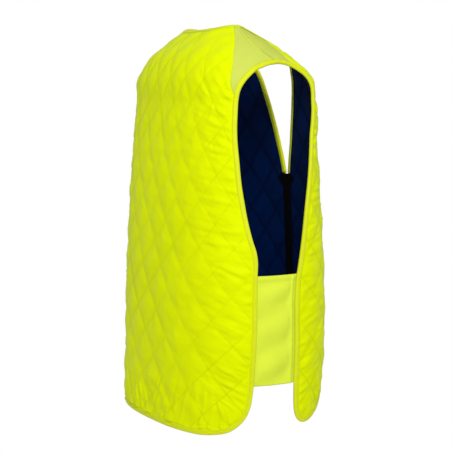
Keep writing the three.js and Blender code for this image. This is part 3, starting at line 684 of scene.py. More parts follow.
class Finish:
    """A procedural material, built node by node."""

    def __init__(self, name, colour, roughness):
        self.material = bpy.data.materials.new(name)
        self.material.use_nodes = True
        self.nodes = self.material.node_tree.nodes
        self.links = self.material.node_tree.links
        self.shader = self.nodes["Principled BSDF"]
        self.colour = colour
        self.shader.inputs["Base Color"].default_value = (*colour, 1)
        self.shader.inputs["Roughness"].default_value = roughness
        self.heights = []
        self.material.diffuse_color = (*colour, 1)

    def node(self, kind, **values):
        """Adds a node and sets its properties."""
        made = self.nodes.new(kind)
        for key, value in values.items():
            setattr(made, key, value)
        return made

    def cloth_place(self, turn=0.0):
        """Coordinates in the cloth, in metres, turned by an angle."""
        source = self.node("ShaderNodeUVMap", uv_map="cloth")
        mapping = self.node("ShaderNodeMapping", vector_type="TEXTURE")
        mapping.inputs["Rotation"].default_value = (0, 0, turn)
        self.links.new(source.outputs["UV"], mapping.inputs["Vector"])
        return mapping.outputs["Vector"]

    def bands(self, pitch, turn=0.0, distortion=0.0):
        """Even bands with a pitch, as threads or ribs make them."""
        wave = self.node("ShaderNodeTexWave", wave_profile="SIN", bands_direction="X")
        wave.inputs["Scale"].default_value = WAVE_PERIOD / pitch
        wave.inputs["Distortion"].default_value = distortion
        wave.inputs["Detail"].default_value = 1.0
        self.links.new(self.cloth_place(turn), wave.inputs["Vector"])
        return wave.outputs["Fac"]

    def cloud(self, size, detail=2.0):
        """Soft random variation with a size."""
        texture = self.node("ShaderNodeTexNoise")
        texture.inputs["Scale"].default_value = 1 / size
        texture.inputs["Detail"].default_value = detail
        self.links.new(self.cloth_place(), texture.inputs["Vector"])
        return texture.outputs["Fac"]

    def combine(self, operation, first, second):
        """Joins two values by an operation."""
        joined = self.node("ShaderNodeMath", operation=operation)
        for slot, value in zip(joined.inputs, (first, second)):
            if isinstance(value, (int, float)):
                slot.default_value = value
            else:
                self.links.new(value, slot)
        return joined.outputs[0]

    def relief(self, height, distance):
        """Adds a bump of a height map, with its depth in metres."""
        bump = self.node("ShaderNodeBump")
        bump.inputs["Strength"].default_value = 1.0
        bump.inputs["Distance"].default_value = distance
        self.links.new(height, bump.inputs["Height"])
        if self.heights:
            self.links.new(self.heights[-1].outputs["Normal"], bump.inputs["Normal"])
        self.heights.append(bump)

    def weave(self, pitch):
        """Fine relief of warp and weft."""
        warp = self.bands(pitch)
        weft = self.bands(pitch, turn=math.pi / 2)
        self.relief(self.combine("MULTIPLY", warp, weft), 0.05 * MM)

    def tint(self, factor, dark, light):
        """Colours the cloth between two shades of its colour by a factor."""
        ramp = self.node("ShaderNodeValToRGB")
        ramp.color_ramp.elements[0].color = (*[c * dark for c in self.colour], 1)
        ramp.color_ramp.elements[1].color = (*[min(c * light, 1) for c in self.colour], 1)
        self.links.new(factor, ramp.inputs["Fac"])
        self.links.new(ramp.outputs["Color"], self.shader.inputs["Base Color"])

    def satin(self, index):
        """Faint gloss of woven threads, which is weaker than that of a solid surface."""
        self.shader.inputs["IOR"].default_value = index
        self.shader.inputs["Specular Tint"].default_value = GLOSS_TINT

    def done(self):
        """Links the relief and gives the material."""
        if self.heights:
            self.links.new(self.heights[-1].outputs["Normal"], self.shader.inputs["Normal"])
        return self.material


def kept_material(name, build):
    """Gives a material by name, built once. The frame's own materials have other names."""
    return bpy.data.materials.get(name) or build(name)


def shell_material(context):
    """Satin woven cloth of the quilted panels."""
    sizes = context.scene.vest_sizes
    colours = context.scene.vest_colours

    def build(name):
        finish = Finish(name, colours.shell, 0.35)
        finish.weave(sizes.weave_pitch)
        finish.relief(finish.cloud(9 * MM, 4.0), 0.55 * MM)
        finish.tint(finish.cloud(60 * MM), 0.93, 1.05)
        finish.satin(1.09)
        return finish.done()

    return kept_material("satin_shell", build)


def lining_material(context):
    """Smooth navy cloth inside the panels, with painted shade along its quilting seams and painted light
    on the middles of its diamonds.
    """
    sizes = context.scene.vest_sizes
    colours = context.scene.vest_colours

    def build(name):
        finish = Finish(name, colours.lining, 0.62)
        finish.weave(sizes.weave_pitch)
        finish.relief(finish.cloud(14 * MM, 3.0), 0.5 * MM)
        # Painted shade and light: darker on the quilting seams as shade in their grooves, lighter towards
        # each diamond's middle as light on its puff, mixed with random tone.
        seams = finish.node("ShaderNodeAttribute", attribute_name=SEAM_SHADE_LAYER)
        finish.tint(finish.combine("MULTIPLY", seams.outputs["Fac"], finish.cloud(40 * MM)), 0.75, 1.85)
        finish.satin(1.08)
        return finish.done()

    return kept_material("navy_lining", build)


def knit_material(name, colour, pitch, lean):
    """Knitted cloth with fine leaning ribs and courses."""
    def build(name):
        finish = Finish(name, colour, 0.82)
        ribs = finish.bands(pitch, turn=lean, distortion=0.3)
        courses = finish.bands(pitch * 0.8, turn=lean + math.radians(62), distortion=0.3)
        loops = finish.combine("MULTIPLY", ribs, courses)
        finish.relief(loops, 0.28 * MM)
        finish.relief(finish.cloud(12 * MM, 3.0), 0.4 * MM)
        speckle = finish.combine("MULTIPLY", loops, 0.55)
        patches = finish.combine("MULTIPLY", finish.cloud(35 * MM), 0.45)
        finish.tint(finish.combine("ADD", speckle, patches), 0.86, 1.08)
        finish.satin(1.1)
        return finish.done()

    return kept_material(name, build)


def binding_material(context):
    """Satin tape with fine cross ribs."""
    colours = context.scene.vest_colours

    def build(name):
        finish = Finish(name, colours.binding, 0.38)
        finish.relief(finish.bands(0.8 * MM, turn=math.radians(24)), 0.10 * MM)
        finish.relief(finish.cloud(7 * MM, 2.0), 0.35 * MM)
        finish.tint(finish.cloud(30 * MM), 0.92, 1.06)
        finish.satin(1.26)
        return finish.done()

    return kept_material("folded_tape", build)


def thread_material(name, colour):
    """Twisted sewing thread."""
    def build(name):
        finish = Finish(name, colour, 0.5)
        finish.relief(finish.bands(0.5 * MM, turn=math.radians(35)), 0.05 * MM)
        finish.tint(finish.cloud(5 * MM), 0.9, 1.1)
        finish.satin(1.2)
        return finish.done()

    return kept_material(name, build)


def tape_material(context):
    """Dense woven tape of the zip."""
    colours = context.scene.vest_colours

    def build(name):
        finish = Finish(name, colours.zip_cloth, 0.72)
        ribs = finish.bands(1.1 * MM, turn=math.radians(28))
        finish.relief(ribs, 0.2 * MM)
        finish.tint(ribs, 0.7, 1.5)
        finish.satin(1.12)
        finish.shader.inputs["Specular IOR Level"].default_value = 0.2
        return finish.done()

    return kept_material("zip_webbing", build)


def coil_material(context):
    """Moulded teeth with a slight gloss."""
    colours = context.scene.vest_colours

    def build(name):
        finish = Finish(name, colours.coil, 0.34)
        finish.relief(finish.cloud(2 * MM), 0.05 * MM)
        finish.tint(finish.cloud(4 * MM), 0.8, 1.3)
        return finish.done()

    return kept_material("coil_nylon", build)


def slider_material(context):
    """Dark lacquered metal, worn to grey in fine patches."""
    colours = context.scene.vest_colours

    def build(name):
        finish = Finish(name, colours.slider, 0.36)
        finish.relief(finish.cloud(1.5 * MM, 4.0), 0.04 * MM)
        finish.tint(finish.cloud(3 * MM, 5.0), 0.7, 2.4)
        finish.shader.inputs["Metallic"].default_value = 0.8
        return finish.done()

    return kept_material("slider_lacquer", build)


# Pieces

PANEL_STEP = 2.4 * MM
LINING_STEP = 4.0 * MM
HEM_CORNER_SHARE = 0.90
HEM_BLEND = 0.16
NECK_BLEND = 0.08
FINEST_STEP = 0.15 * MM
BLANK_STEP = 4.6 * MM
ZIP_TOP = NECK_SEWN[-1, 1]
ZIP_BOTTOM = FRONT_SEWN[-1, 1]
SWELL_FRAMES = 24
BLANK_SHRINK = -0.04
SEAM_SOFTNESS = 3 * MM
BLANK_SHARE = 0.30
DRAPE_HEIGHT = 0.8 * MM
DRAPE_WIDTH = 90 * MM
DRAPE_LENGTH = 120 * MM
CREASE_WIDTH = 13 * MM
CREASE_LENGTH = 9 * MM
HELD_REACH = 5 * MM
DEEPEST = 1.6 * MM
TAPE_GAP = 0.4 * MM
TAPE_STEP = 2 * MM
TAPE_ROWS = 160
TAPE_COLUMNS = 10
TAPE_TOP_SHARE = 0.2
ZIP_INSET = 0.6 * MM
COIL_SIDES = 8
COIL_LIFT = 0.9 * MM


def panel_side(levels, line, seam):
    """Where a panel's side runs: along its yoke seam, and below that along its free edge."""
    join, seam_end = crossing(line, seam)
    above = around_at(seam, levels)
    return np.where(levels < seam[seam_end, 1], above, around_at(line[join:], levels))


def back_grid(step, finest=FINEST_STEP):
    """Grid of places of the back panel, from the neck to the hem, and its plain levels."""
    neck, seam = crossing(NECK_TUCKED, BACK_SEAM)
    corner = BACK_SEAM[seam]
    levels = hem_levels(corner[1], BACK_TUCKED, step, HEM_CORNER_SHARE * VEST_LENGTH, finest)
    reach = panel_side(levels, BACK_TUCKED, BACK_SEAM)
    columns = 2 * int(round(form.half_girth(VEST_LENGTH / 2) * 0.42 / step))
    around, down = sheet_rows(levels, -reach, reach, columns)
    neckline = NECK_TUCKED[:neck + 1]
    rise = np.interp(np.abs(around), neckline[:, 0], neckline[:, 1]) - corner[1]
    fade = 1 - ease(down, corner[1], corner[1] + NECK_BLEND)
    return around, down + rise * fade, levels


def front_grid(step, finest=FINEST_STEP):
    """Grid of places of the right front panel, from its tip to the hem, and its plain levels."""
    neck, seam = crossing(NECK_TUCKED, FRONT_SEAM)
    top = FRONT_SEAM[seam, 1] + 1.0 * MM
    side_line = falling(FRONT_TUCKED)
    levels = hem_levels(top, side_line, step, HEM_CORNER_SHARE * FRONT_LENGTH, finest)
    outer = panel_side(levels, side_line, FRONT_SEAM)
    inner = np.minimum(around_at(NECK_TUCKED[neck:], levels), zip_edge_at(levels))
    inner = np.where(levels > ZIP_TOP, zip_edge_at(levels), inner)
    columns = int(round(form.half_girth(FRONT_LENGTH / 2) * 0.42 / step))
    around, down = sheet_rows(levels, outer, inner, columns)
    hem = hem_of(FRONT_TUCKED)[::-1]
    rise = np.interp(around, hem[:, 0], hem[:, 1]) - levels[-1]
    return around, down + rise * ease(down, levels[-1] - HEM_BLEND, levels[-1]), levels


def read_along(values, places, axis):
    """Reads a grid between its points along one axis, on smooth curves."""
    last = values.shape[axis] - 1
    i = np.clip(np.floor(places).astype(int), 0, last - 1)
    t = (places - i)[:, None] if axis == 0 else (places - i)[None, :]
    a, b, c, d = (np.take(values, np.clip(i + k, 0, last), axis=axis) for k in (-1, 0, 1, 2))
    bend = (2 * a - 5 * b + 4 * c - d) + (3 * (b - c) + d - a) * t
    return b + t * ((c - a) + t * bend) / 2


def swollen_blank(grid, quilting):
    """Swells a blank of quilted cloth by simulation, and gives how far it stands out.

    The blank is cut a little larger than the form all over, and is held along its seams and
    its border, so that it puffs out between them.
    """
    around, down, levels = grid(BLANK_STEP, BLANK_STEP)
    rows, columns = around.shape
    rest = form.place(around, down)
    points = rest.reshape(-1, 3)
    mesh = bpy.data.meshes.new("blank")
    faces = grid_faces(rows, columns, 0, is_inside_out(points, rows, columns))
    mesh.from_pydata(points.tolist(), [], faces.tolist())
    blank = bpy.data.objects.new("blank", mesh)
    bpy.context.scene.collection.objects.link(blank)
    held = quilting.seam_reach(around, down) < BLANK_STEP / 2
    held[[0, -1], :] = True
    held[:, [0, -1]] = True
    sewn = blank.vertex_groups.new(name="sewn")
    sewn.add(np.flatnonzero(held).tolist(), 1.0, "REPLACE")
    swell_cloth(blank)
    moved = np.empty(len(points) * 3, dtype=np.float32)
    shaped = blank.evaluated_get(bpy.context.evaluated_depsgraph_get())
    shaped.data.vertices.foreach_get("co", moved)
    out = ((moved.reshape(rest.shape) - rest) * form.outward(around, down)).sum(axis=-1)
    bpy.data.objects.remove(blank)
    bpy.context.scene.frame_set(1)
    return out, levels


def swell_cloth(blank):
    """Runs the cloth simulation on a blank, without gravity and without collisions."""
    cloth = blank.modifiers.new("cloth", "CLOTH")
    settings = cloth.settings
    settings.quality = 4
    settings.mass = 0.2
    settings.air_damping = 3
    settings.tension_stiffness = 15
    settings.compression_stiffness = 15
    settings.shear_stiffness = 3
    settings.bending_stiffness = 80
    settings.vertex_group_mass = "sewn"
    settings.shrink_min = BLANK_SHRINK
    settings.use_pressure = True
    settings.uniform_pressure_force = 4
    settings.effector_weights.gravity = 0
    cloth.collision_settings.use_collision = False
    cloth.point_cache.frame_end = SWELL_FRAMES
    for number in range(1, SWELL_FRAMES + 1):
        bpy.context.scene.frame_set(number)


def quilted_relief(sizes, grid, quilting, edges, seams, seed):
    """Places of a quilted panel, and how far its cloth stands off the form at each."""
    around, down, levels = grid(PANEL_STEP)
    blank, blank_levels = swollen_blank(grid, quilting)
    rows = np.interp(levels, blank_levels, np.arange(len(blank_levels)))
    columns = np.linspace(0, blank.shape[1] - 1, around.shape[1])
    swell = read_along(read_along(blank, rows, 0), columns, 1)
    reach = quilting.seam_reach(around, down)
    swell = swell * ease(reach, -SEAM_SOFTNESS, SEAM_SOFTNESS) * BLANK_SHARE
    girth = form.half_girth(down)
    drape = noise(around * girth / DRAPE_WIDTH, down / DRAPE_LENGTH, seed)
    grain = noise(around * girth / CREASE_WIDTH, down / CREASE_LENGTH, seed + 5)
    nearest = np.min([edge_reach(around, down, line)[0] for line in (*edges, *seams)], axis=0)
    puff = quilting.puff(around, down)
    gathers = sizes.gather_height * edge_gathers(around, down, edges, seed + 60)
    gathers *= ease(reach, -1 * MM, SEAM_SOFTNESS)
    relief = sizes.puff_height * puff + swell + sizes.crease_height * grain * puff + gathers
    relief = (relief + DRAPE_HEIGHT * drape) * ease(nearest, 0.5 * MM, HELD_REACH)
    return around, down, DEEPEST * np.tanh(np.minimum(relief, 0) / DEEPEST) + np.maximum(relief, 0)


class VEST_OT_quilted_panels(bpy.types.Operator):
    """Makes the quilted back and the two quilted fronts"""

    bl_idname = "vest.quilted_panels"
    bl_label = "Quilted Panels"

    def execute(self, context):
        sizes = context.scene.vest_sizes
        material = shell_material(context)
        quilting = Quilting(BACK_QUILTING, False, sizes)
        edges = (BACK_BOUND, mirrored(BACK_BOUND))
        neckline = np.vstack((mirrored(NECK_SEWN)[::-1], NECK_SEWN))
        seams = (neckline, BACK_SEAM, mirrored(BACK_SEAM))
        around, down, relief = quilted_relief(sizes, back_grid, quilting, edges, seams, 3)
        piece = make_wall("quilted_back", around, down, relief, -SHELL_THICKNESS, material, False)
        self.finish_panel(piece, "back_panel")
        quilting = Quilting(FRONT_QUILTING, True, sizes)
        seams = (NECK_SEWN, FRONT_SEAM, zip_edge())
        around, down, relief = quilted_relief(sizes, front_grid, quilting, (FRONT_SEWN,), seams, 40)
        for side, way in SIDES:
            name = f"quilted_front_{side}"
            piece = make_wall(name, around * way, down, relief, -SHELL_THICKNESS, material, False)
            self.finish_panel(piece, f"front_panel_{side}")
        return {"FINISHED"}

    def finish_panel(self, piece, node):
        """Hides the frame's part that a panel stands for."""
        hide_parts(node)


def zip_edge():
    """The edge of a front panel beside the zip."""
    levels = np.arange(ZIP_TOP, ZIP_BOTTOM, LINE_STEP)
    return np.column_stack((zip_edge_at(levels), levels))


class VEST_OT_lining(bpy.types.Operator):
    """Makes the navy lining of the back and of the two fronts"""

    bl_idname = "vest.lining"
    bl_label = "Lining"

    def execute(self, context):
        sizes = context.scene.vest_sizes
        material = lining_material(context)
        around, down = back_grid(LINING_STEP)[:2]
        quilting = Quilting(BACK_QUILTING, False, sizes)
        edges = (BACK_BOUND, mirrored(BACK_BOUND), NECK_SEWN, mirrored(NECK_SEWN))
        self.make_lining(
            "lining_back", "back_lining", around, down, 1, quilting, edges, material)
        around, down = front_grid(LINING_STEP)[:2]
        quilting = Quilting(FRONT_QUILTING, True, sizes)
        edges = (FRONT_SEWN, NECK_SEWN, zip_edge())
        for side, way in SIDES:
            self.make_lining(
                f"lining_front_{side}", f"front_lining_{side}", around, down, way, quilting,
                edges, material)
        return {"FINISHED"}

    def make_lining(self, name, node, around, down, way, quilting, edges, material):
        """One sheet of lining, drawn in along the quilting seams and marked for painted shade along them.
        """
        swell = quilting.puff(around, down)
        gathers = seam_puckers(quilting, around, down, 77)
        reaches = [edge_reach(around, down, line)[0] for line in edges]
        edge = ease(np.min(reaches, axis=0), HELD_REACH, 3 * HELD_REACH)
        inward = (3.0 * MM * swell + 0.5 * MM * gathers) * edge
        face = -LINING_FACE - 0.6 * inward
        back = -LINING_FACE - LINING_THICKNESS - inward
        piece = make_wall(name, around * way, down, face, back, material)
        # Mask of the painted seam shade: 0 on a quilting seam, rising to 1 away from it, read by the
        # lining's material.
        away = ease(quilting.seam_reach(around, down), 0, SEAM_SHADE_REACH)
        shade = piece.data.attributes.new(SEAM_SHADE_LAYER, "FLOAT", "POINT")
        shade.data.foreach_set("value", np.tile(away.ravel(), 2).astype(np.float32))
        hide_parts(node)


YOKE_ACROSS = 36
YOKE_ALONG = 44
RIDGE_WIDTH = 2.2 * MM
RIDGE_HEIGHT = 2.0 * MM


def yoke_grid(seam, side):
    """Grid of places of one yoke, from the shoulder seam to its panel's seam."""
    neck, shoulder_neck = crossing(NECK_TUCKED, SHOULDER)
    arm_line = np.vstack((BACK_TUCKED[::-1], FRONT_TUCKED[1:]))
    arm, shoulder_arm = crossing(arm_line, SHOULDER)
    neck_corner, seam_neck = crossing(NECK_TUCKED, seam)
    arm_corner, seam_arm = crossing(arm_line, seam)
    start = run_of(SHOULDER, shoulder_neck, shoulder_arm, YOKE_ALONG)
    end = run_of(seam, seam_neck, seam_arm, YOKE_ALONG)
    top = run_of(NECK_TUCKED, neck, neck_corner, YOKE_ACROSS)
    bottom = run_of(arm_line, arm, arm_corner, YOKE_ACROSS)
    start[:, 0] += side * 0.25 * MM / form.half_girth(start[:, 1])
    end[:, 0] -= side * 0.25 * MM / form.half_girth(end[:, 1])
    top[0], top[-1] = start[0], end[0]
    bottom[0], bottom[-1] = start[-1], end[-1]
    return coons(top, bottom, start, end)


class VEST_OT_yokes(bpy.types.Operator):
    """Makes the four knit yokes that meet along the shoulder seams"""

    bl_idname = "vest.yokes"
    bl_label = "Shoulder Yokes"

    def execute(self, context):
        sizes = context.scene.vest_sizes
        colours = context.scene.vest_colours
        material = knit_material("yoke_jersey", colours.yoke, sizes.knit_pitch, math.radians(35))
        for part, seam, lean in (("back", BACK_SEAM, -1), ("front", FRONT_SEAM, 1)):
            around, down = yoke_grid(seam, lean)
            ridge = edge_reach(around, down, SHOULDER)[0]
            girth = form.half_girth(down)
            soft = noise(around * girth / (26 * MM), down / (20 * MM), 60 + lean)
            relief = RIDGE_HEIGHT * np.exp(-(ridge / RIDGE_WIDTH) ** 2) + 0.5 * MM * soft
            relief *= ease(ridge, 0, 0.2 * MM)
            for side, way in SIDES:
                piece = make_wall(
                    f"knit_{part}_yoke_{side}", around * way, down, relief - CLOTH_GAP,
                    -CLOTH_GAP - KNIT_THICKNESS, material)
                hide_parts(f"{part}_yoke_{side}")
        return {"FINISHED"}


SIDE_COLUMNS = 44
SIDE_ROWS = 80
SIDE_WAVES = 3.1
SIDE_WAVE_SLANT = 0.55
SIDE_WAVE_START = 0.78
FOLD_HEIGHT = 1.5 * MM
TUCK_HEIGHT = 2.8 * MM
GROOVE_DEPTH = 2.6 * MM


class VEST_OT_side_panels(bpy.types.Operator):
    """Makes the knit panels between the back and the front under the arms"""

    bl_idname = "vest.side_panels"
    bl_label = "Side Panels"

    def execute(self, context):
        sizes = context.scene.vest_sizes
        colours = context.scene.vest_colours
        material = knit_material("side_jersey", colours.side, sizes.knit_pitch * 1.1, math.radians(48))
        levels = np.linspace(SIDE_PANEL_TOP, SIDE_PANEL_TOP + SIDE_PANEL_HEIGHT, SIDE_ROWS + 1)
        girth = form.half_girth(levels)
        reach = (SIDE_PANEL_TUCK - BINDING_WIDTH) / girth
        start = around_at(BACK_SEWN, levels) - reach
        end = around_at(FRONT_SEWN, levels) + reach
        around, down = sheet_rows(levels, start, end, SIDE_COLUMNS)
        t = np.linspace(0, 1, SIDE_COLUMNS + 1)[None, :]
        drop = (down - SIDE_PANEL_TOP) / SIDE_PANEL_HEIGHT
        bow = np.sin(math.pi * t) ** 2
        wave = np.cos(2 * math.pi * (drop * SIDE_WAVES + SIDE_WAVE_SLANT * t - SIDE_WAVE_START))
        wave += 0.5 * noise(t * 3 + 0 * drop, drop * 9, 12)
        fold = SIDE_PANEL_TOP + FOLD_DEPTH
        band = FOLD_HEIGHT * (1 - ease(down, SIDE_PANEL_TOP + 0.8 * FOLD_DEPTH, fold))
        tuck = TUCK_HEIGHT * np.exp(-((t - 0.845) / 0.028) ** 2)
        groove = GROOVE_DEPTH * np.exp(-((t - 0.9) / 0.02) ** 2)
        loose = ease(t, 0.0, 0.25) * (1 - ease(t, 0.72, 0.84)) * ease(drop, 0.02, 0.12)
        face = -SIDE_PANEL_FACE + SIDE_PANEL_BOW * bow + sizes.side_fold_height * wave * loose
        face = face + band + tuck - groove
        for side, way in SIDES:
            piece = make_wall(
                f"knit_side_panel_{side}", around * way, down, face, face - KNIT_THICKNESS, material)
            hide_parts(f"side_panel_{side}")
        return {"FINISHED"}


RIPPLE_LENGTH = 9 * MM
RIPPLE_HEIGHT = 0.25 * MM
STRIP_STEP = 2.4 * MM


def strip_frame(line, way):
    """Points of a line in the cloth with the directions out of it and sideways from it."""
    around, down = line.T
    points = form.place(around, down)
    out = form.outward(around, down)
    heading = unit(np.gradient(points, axis=0))
    side = unit(np.cross(out, heading)) * way
    return points, out, side, heading


def tape_profile():
    """Section of the folded tape: reach from the sewn line, out from the cloth."""
    middle = (BINDING_PROUD - BINDING_BACK) / 2
    half = (BINDING_PROUD + BINDING_BACK) / 2
    bend = np.linspace(math.pi / 2, -math.pi / 2, 11)
    outer = [(0.0, BINDING_PROUD - 0.35 * MM), (0.5 * MM, BINDING_PROUD)]
    outer += [(2.2 * MM, BINDING_PROUD + 0.25 * MM), (4.2 * MM, BINDING_PROUD + 0.2 * MM)]
    fold = BINDING_WIDTH - half * 0.8
    outer += [(fold + half * 0.8 * math.cos(a), middle + half * math.sin(a)) for a in bend]
    outer += [(2.5 * MM, -BINDING_BACK), (0.0, -BINDING_BACK + 0.2 * MM)]
    inner_half = half - TAPE_CLOTH
    inner = [(0.1 * MM, BINDING_PROUD - 0.35 * MM - TAPE_CLOTH), (4.2 * MM, middle + inner_half)]
    inner += [
        (fold + (half * 0.8 - TAPE_CLOTH) * math.cos(a), middle + inner_half * math.sin(a))
        for a in bend
    ]
    inner += [(0.1 * MM, middle - inner_half)]
    return outer + inner[::-1]


def make_strip(name, line, way, profile, material, seed):
    """A strip of one section, slightly rippled, along a line in the cloth."""
    points, out, side, heading = strip_frame(line, way)
    section = np.array(profile)
    count = len(section)
    length = run_lengths(points)
    wave = noise(length / RIPPLE_LENGTH, 0 * length, seed)
    wave += 0.6 * noise(length / (RIPPLE_LENGTH / 2), 0 * length + 3, seed)
    lift = section[None, :, 1] + RIPPLE_HEIGHT * wave[:, None] * (section[None, :, 1] > 0)
    vertices = points[:, None] + side[:, None] * section[None, :, :1] + out[:, None] * lift[..., None]
    rows = len(line)
    girth = run_lengths(section)
    uv = np.stack(np.broadcast_arrays(length[:, None], girth[None, :]), axis=-1)
    index = np.arange(rows * count).reshape(rows, count)
    following = np.roll(index, -1, axis=1)
    a, b = index[:-1].ravel(), following[:-1].ravel()
    c, d = following[1:].ravel(), index[1:].ravel()
    faces = np.column_stack((a, b, c, d))
    middle = vertices[rows // 2]
    turning = np.cross(middle[1] - middle[0], heading[rows // 2])
    flip = np.dot(turning, out[rows // 2]) < 0
    faces = faces[:, ::-1] if flip else faces
    caps = [list(index[0]), list(index[-1][::-1])]
    if not flip:
        caps = [cap[::-1] for cap in caps]
    return make_object(name, vertices, [*faces.tolist(), *caps], material, uv)


def edge_path():
    """The sewn line of one side: back hem, side, armhole, side again and front hem."""
    start = np.array(((0.15 * MM / form.half_girth(VEST_LENGTH), BACK_SEWN[-1, 1]),))
    front = FRONT_SEWN[3:]
    front = front[front[:, 0] < zip_edge_at(front[:, 1])]
    end = np.array(((zip_edge_at(ZIP_BOTTOM), ZIP_BOTTOM),))
    path = np.vstack((start, BACK_SEWN[::-1], front, end))
    return even(path, STRIP_STEP)


def neck_path():
    """The sewn line round the neck and down both sides of the V."""
    return even(np.vstack((mirrored(NECK_SEWN[1:])[::-1], NECK_SEWN)), STRIP_STEP)


class VEST_OT_bindings(bpy.types.Operator):
    """Makes the folded tapes along the free edges"""

    bl_idname = "vest.bindings"
    bl_label = "Bindings"

    def execute(self, context):
        material = binding_material(context)
        profile = tape_profile()
        path = edge_path()
        for side, way in SIDES:
            line = path if way > 0 else mirrored(path)
            piece = make_strip(f"bound_edge_{side}", line, -way, profile, material, 8 + way)
            self.finish_binding(piece, f"edge_binding_{side}", path)
        path = neck_path()
        piece = make_strip("bound_neck", path, 1, profile, material, 15)
        self.finish_binding(piece, "neck_binding", path)
        return {"FINISHED"}

    def finish_binding(self, piece, node, path):
        """Hides the frame's part that a binding stands for."""
        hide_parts(node)


class VEST_OT_zip(bpy.types.Operator):
    """Makes the tapes, the closed coil and the slider of the zip"""

    bl_idname = "vest.zip"
    bl_label = "Zip"

    def execute(self, context):
        self.make_tapes(context)
        self.make_coil(context)
        self.make_slider(context)
        return {"FINISHED"}

    def zip_ends(self):
        """Levels of the zip's top and bottom."""
        return ZIP_TOP + ZIP_INSET, ZIP_BOTTOM

    def make_tapes(self, context):
        """Two woven tapes with flared tops."""
        material = tape_material(context)
        top, bottom = self.zip_ends()
        levels = np.linspace(top, bottom, TAPE_ROWS)
        girth = form.half_girth(levels)
        ends = (0, TAPE_FLARE_HEIGHT, TAPE_FLARE_HEIGHT + TAPE_STEP)
        fade = np.interp(levels - top, ends, (TAPE_TOP_SHARE, 1.0, 0.0))
        outer = 1 - (TAPE_REACH + TAPE_FLARE * fade) / girth
        inner = 1 - TAPE_GAP / 2 / girth
        around, down = sheet_rows(levels, outer, inner, TAPE_COLUMNS)
        for side, way in SIDES:
            piece = make_wall(
                f"woven_tape_{side}", around * way, down, -TAPE_FACE, -TAPE_FACE - TAPE_THICKNESS,
                material)
            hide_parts(f"zip_tape_{side}")

    def make_coil(self, context):
        """Teeth of the two coils, which pass between each other."""
        sizes = context.scene.vest_sizes
        top, bottom = self.zip_ends()
        count = int((bottom - top) / sizes.coil_pitch)
        levels = top + sizes.coil_pitch * (np.arange(count) + 0.5)
        points = form.place(np.ones(count), levels)
        out = form.outward(np.ones(count), levels)
        middle = -TAPE_FACE + COIL_LIFT
        vertices = []
        faces = []
        thick = 0.42 * sizes.coil_pitch
        turn = np.linspace(0, 2 * math.pi, COIL_SIDES, endpoint=False)
        stations = ((-2.3, 0.8), (-1.5, 1.0), (0.9, 1.0), (1.7, 1.15), (2.2, 0.7))
        for i, (point, normal) in enumerate(zip(points, out)):
            way = 1 if i % 2 else -1
            down = np.cross(normal, (1.0, 0.0, 0.0))
            first = len(vertices)
            for reach, swell in stations:
                centre = point + normal * middle + np.array((way * reach * MM, 0, 0))
                for angle in turn:
                    ring = normal * 1.05 * MM * math.cos(angle) + down * thick * math.sin(angle)
                    vertices.append(centre + ring * swell)
            faces += tube_faces(first, len(stations), COIL_SIDES, way < 0)
        uv = [(v[0], v[2]) for v in vertices]
        piece = make_object("coil_teeth", vertices, faces, coil_material(context), uv)
        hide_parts("zip_teeth")

    def make_slider(self, context):
        """Slider body with its bridge, and a pull that hangs from it."""
        top = self.zip_ends()[0] + 1.0 * MM
        out = form.outward(np.array(1.0), np.array(top))
        base = form.place(1.0, top)
        material = slider_material(context)
        down_way = np.cross(out, (1.0, 0.0, 0.0))
        down_way = down_way if down_way[2] < 0 else -down_way
        low = -TAPE_FACE + 1.0 * MM

        def block(stations):
            """Closed body from stations of drop, half width, back and face, in millimetres."""
            vertices = []
            for station in stations:
                drop, half, back, face = (value * MM for value in station)
                back += low
                face += low
                corner = min(half, face - back) * 0.35
                outline = (
                    (-half, back), (half, back), (half, face - corner), (half - corner, face),
                    (-half + corner, face), (-half, face - corner),
                )
                for x, height in outline:
                    place = base + down_way * drop + out * height + np.array((x, 0, 0))
                    vertices.append(place)
            return vertices, tube_faces(0, len(stations), len(outline))

        body = block((
            (0.0, 2.6, 0.0, 1.5), (1.2, 3.6, 0.0, 1.9), (5.0, 4.0, 0.0, 2.1),
            (9.5, 3.3, 0.0, 1.9), (11.0, 2.6, 0.0, 1.4),
        ))
        bridge = block((
            (1.6, 0.8, 1.8, 2.3), (3.0, 0.9, 1.9, 3.3), (7.6, 0.9, 1.9, 3.3), (9.0, 0.8, 1.8, 2.3),
        ))
        pull = block((
            (8.0, 1.2, 2.5, 3.3), (10.0, 1.9, 2.4, 3.4), (22.0, 2.4, 1.6, 2.6),
            (31.0, 2.6, 1.0, 2.2), (34.0, 1.7, 1.0, 2.0),
        ))
        vertices = []
        faces = []
        for points, polygons in (body, bridge, pull):
            start = len(vertices)
            vertices += points
            faces += [tuple(i + start for i in polygon) for polygon in polygons]
        uv = [(v[0], v[2]) for v in vertices]
        piece = make_object("slider_with_pull", vertices, faces, material, uv)
        bevel = piece.modifiers.new("edges", "BEVEL")
        bevel.width = 0.25 * MM
        bevel.segments = 2
        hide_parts("zip_slider")


# Stitching

STITCH_INSET = 1.5 * MM
STITCH_SIDES = 4
THREAD_LIFT = 0.25 * MM
TRIM_INSET = 1.6 * MM
TRIM_LIFT = BINDING_PROUD + 0.2 * MM
SEAM_GAP = 3.0 * MM
SEAM_STEP = 3.0 * MM
SEAM_NUMBERS = 30


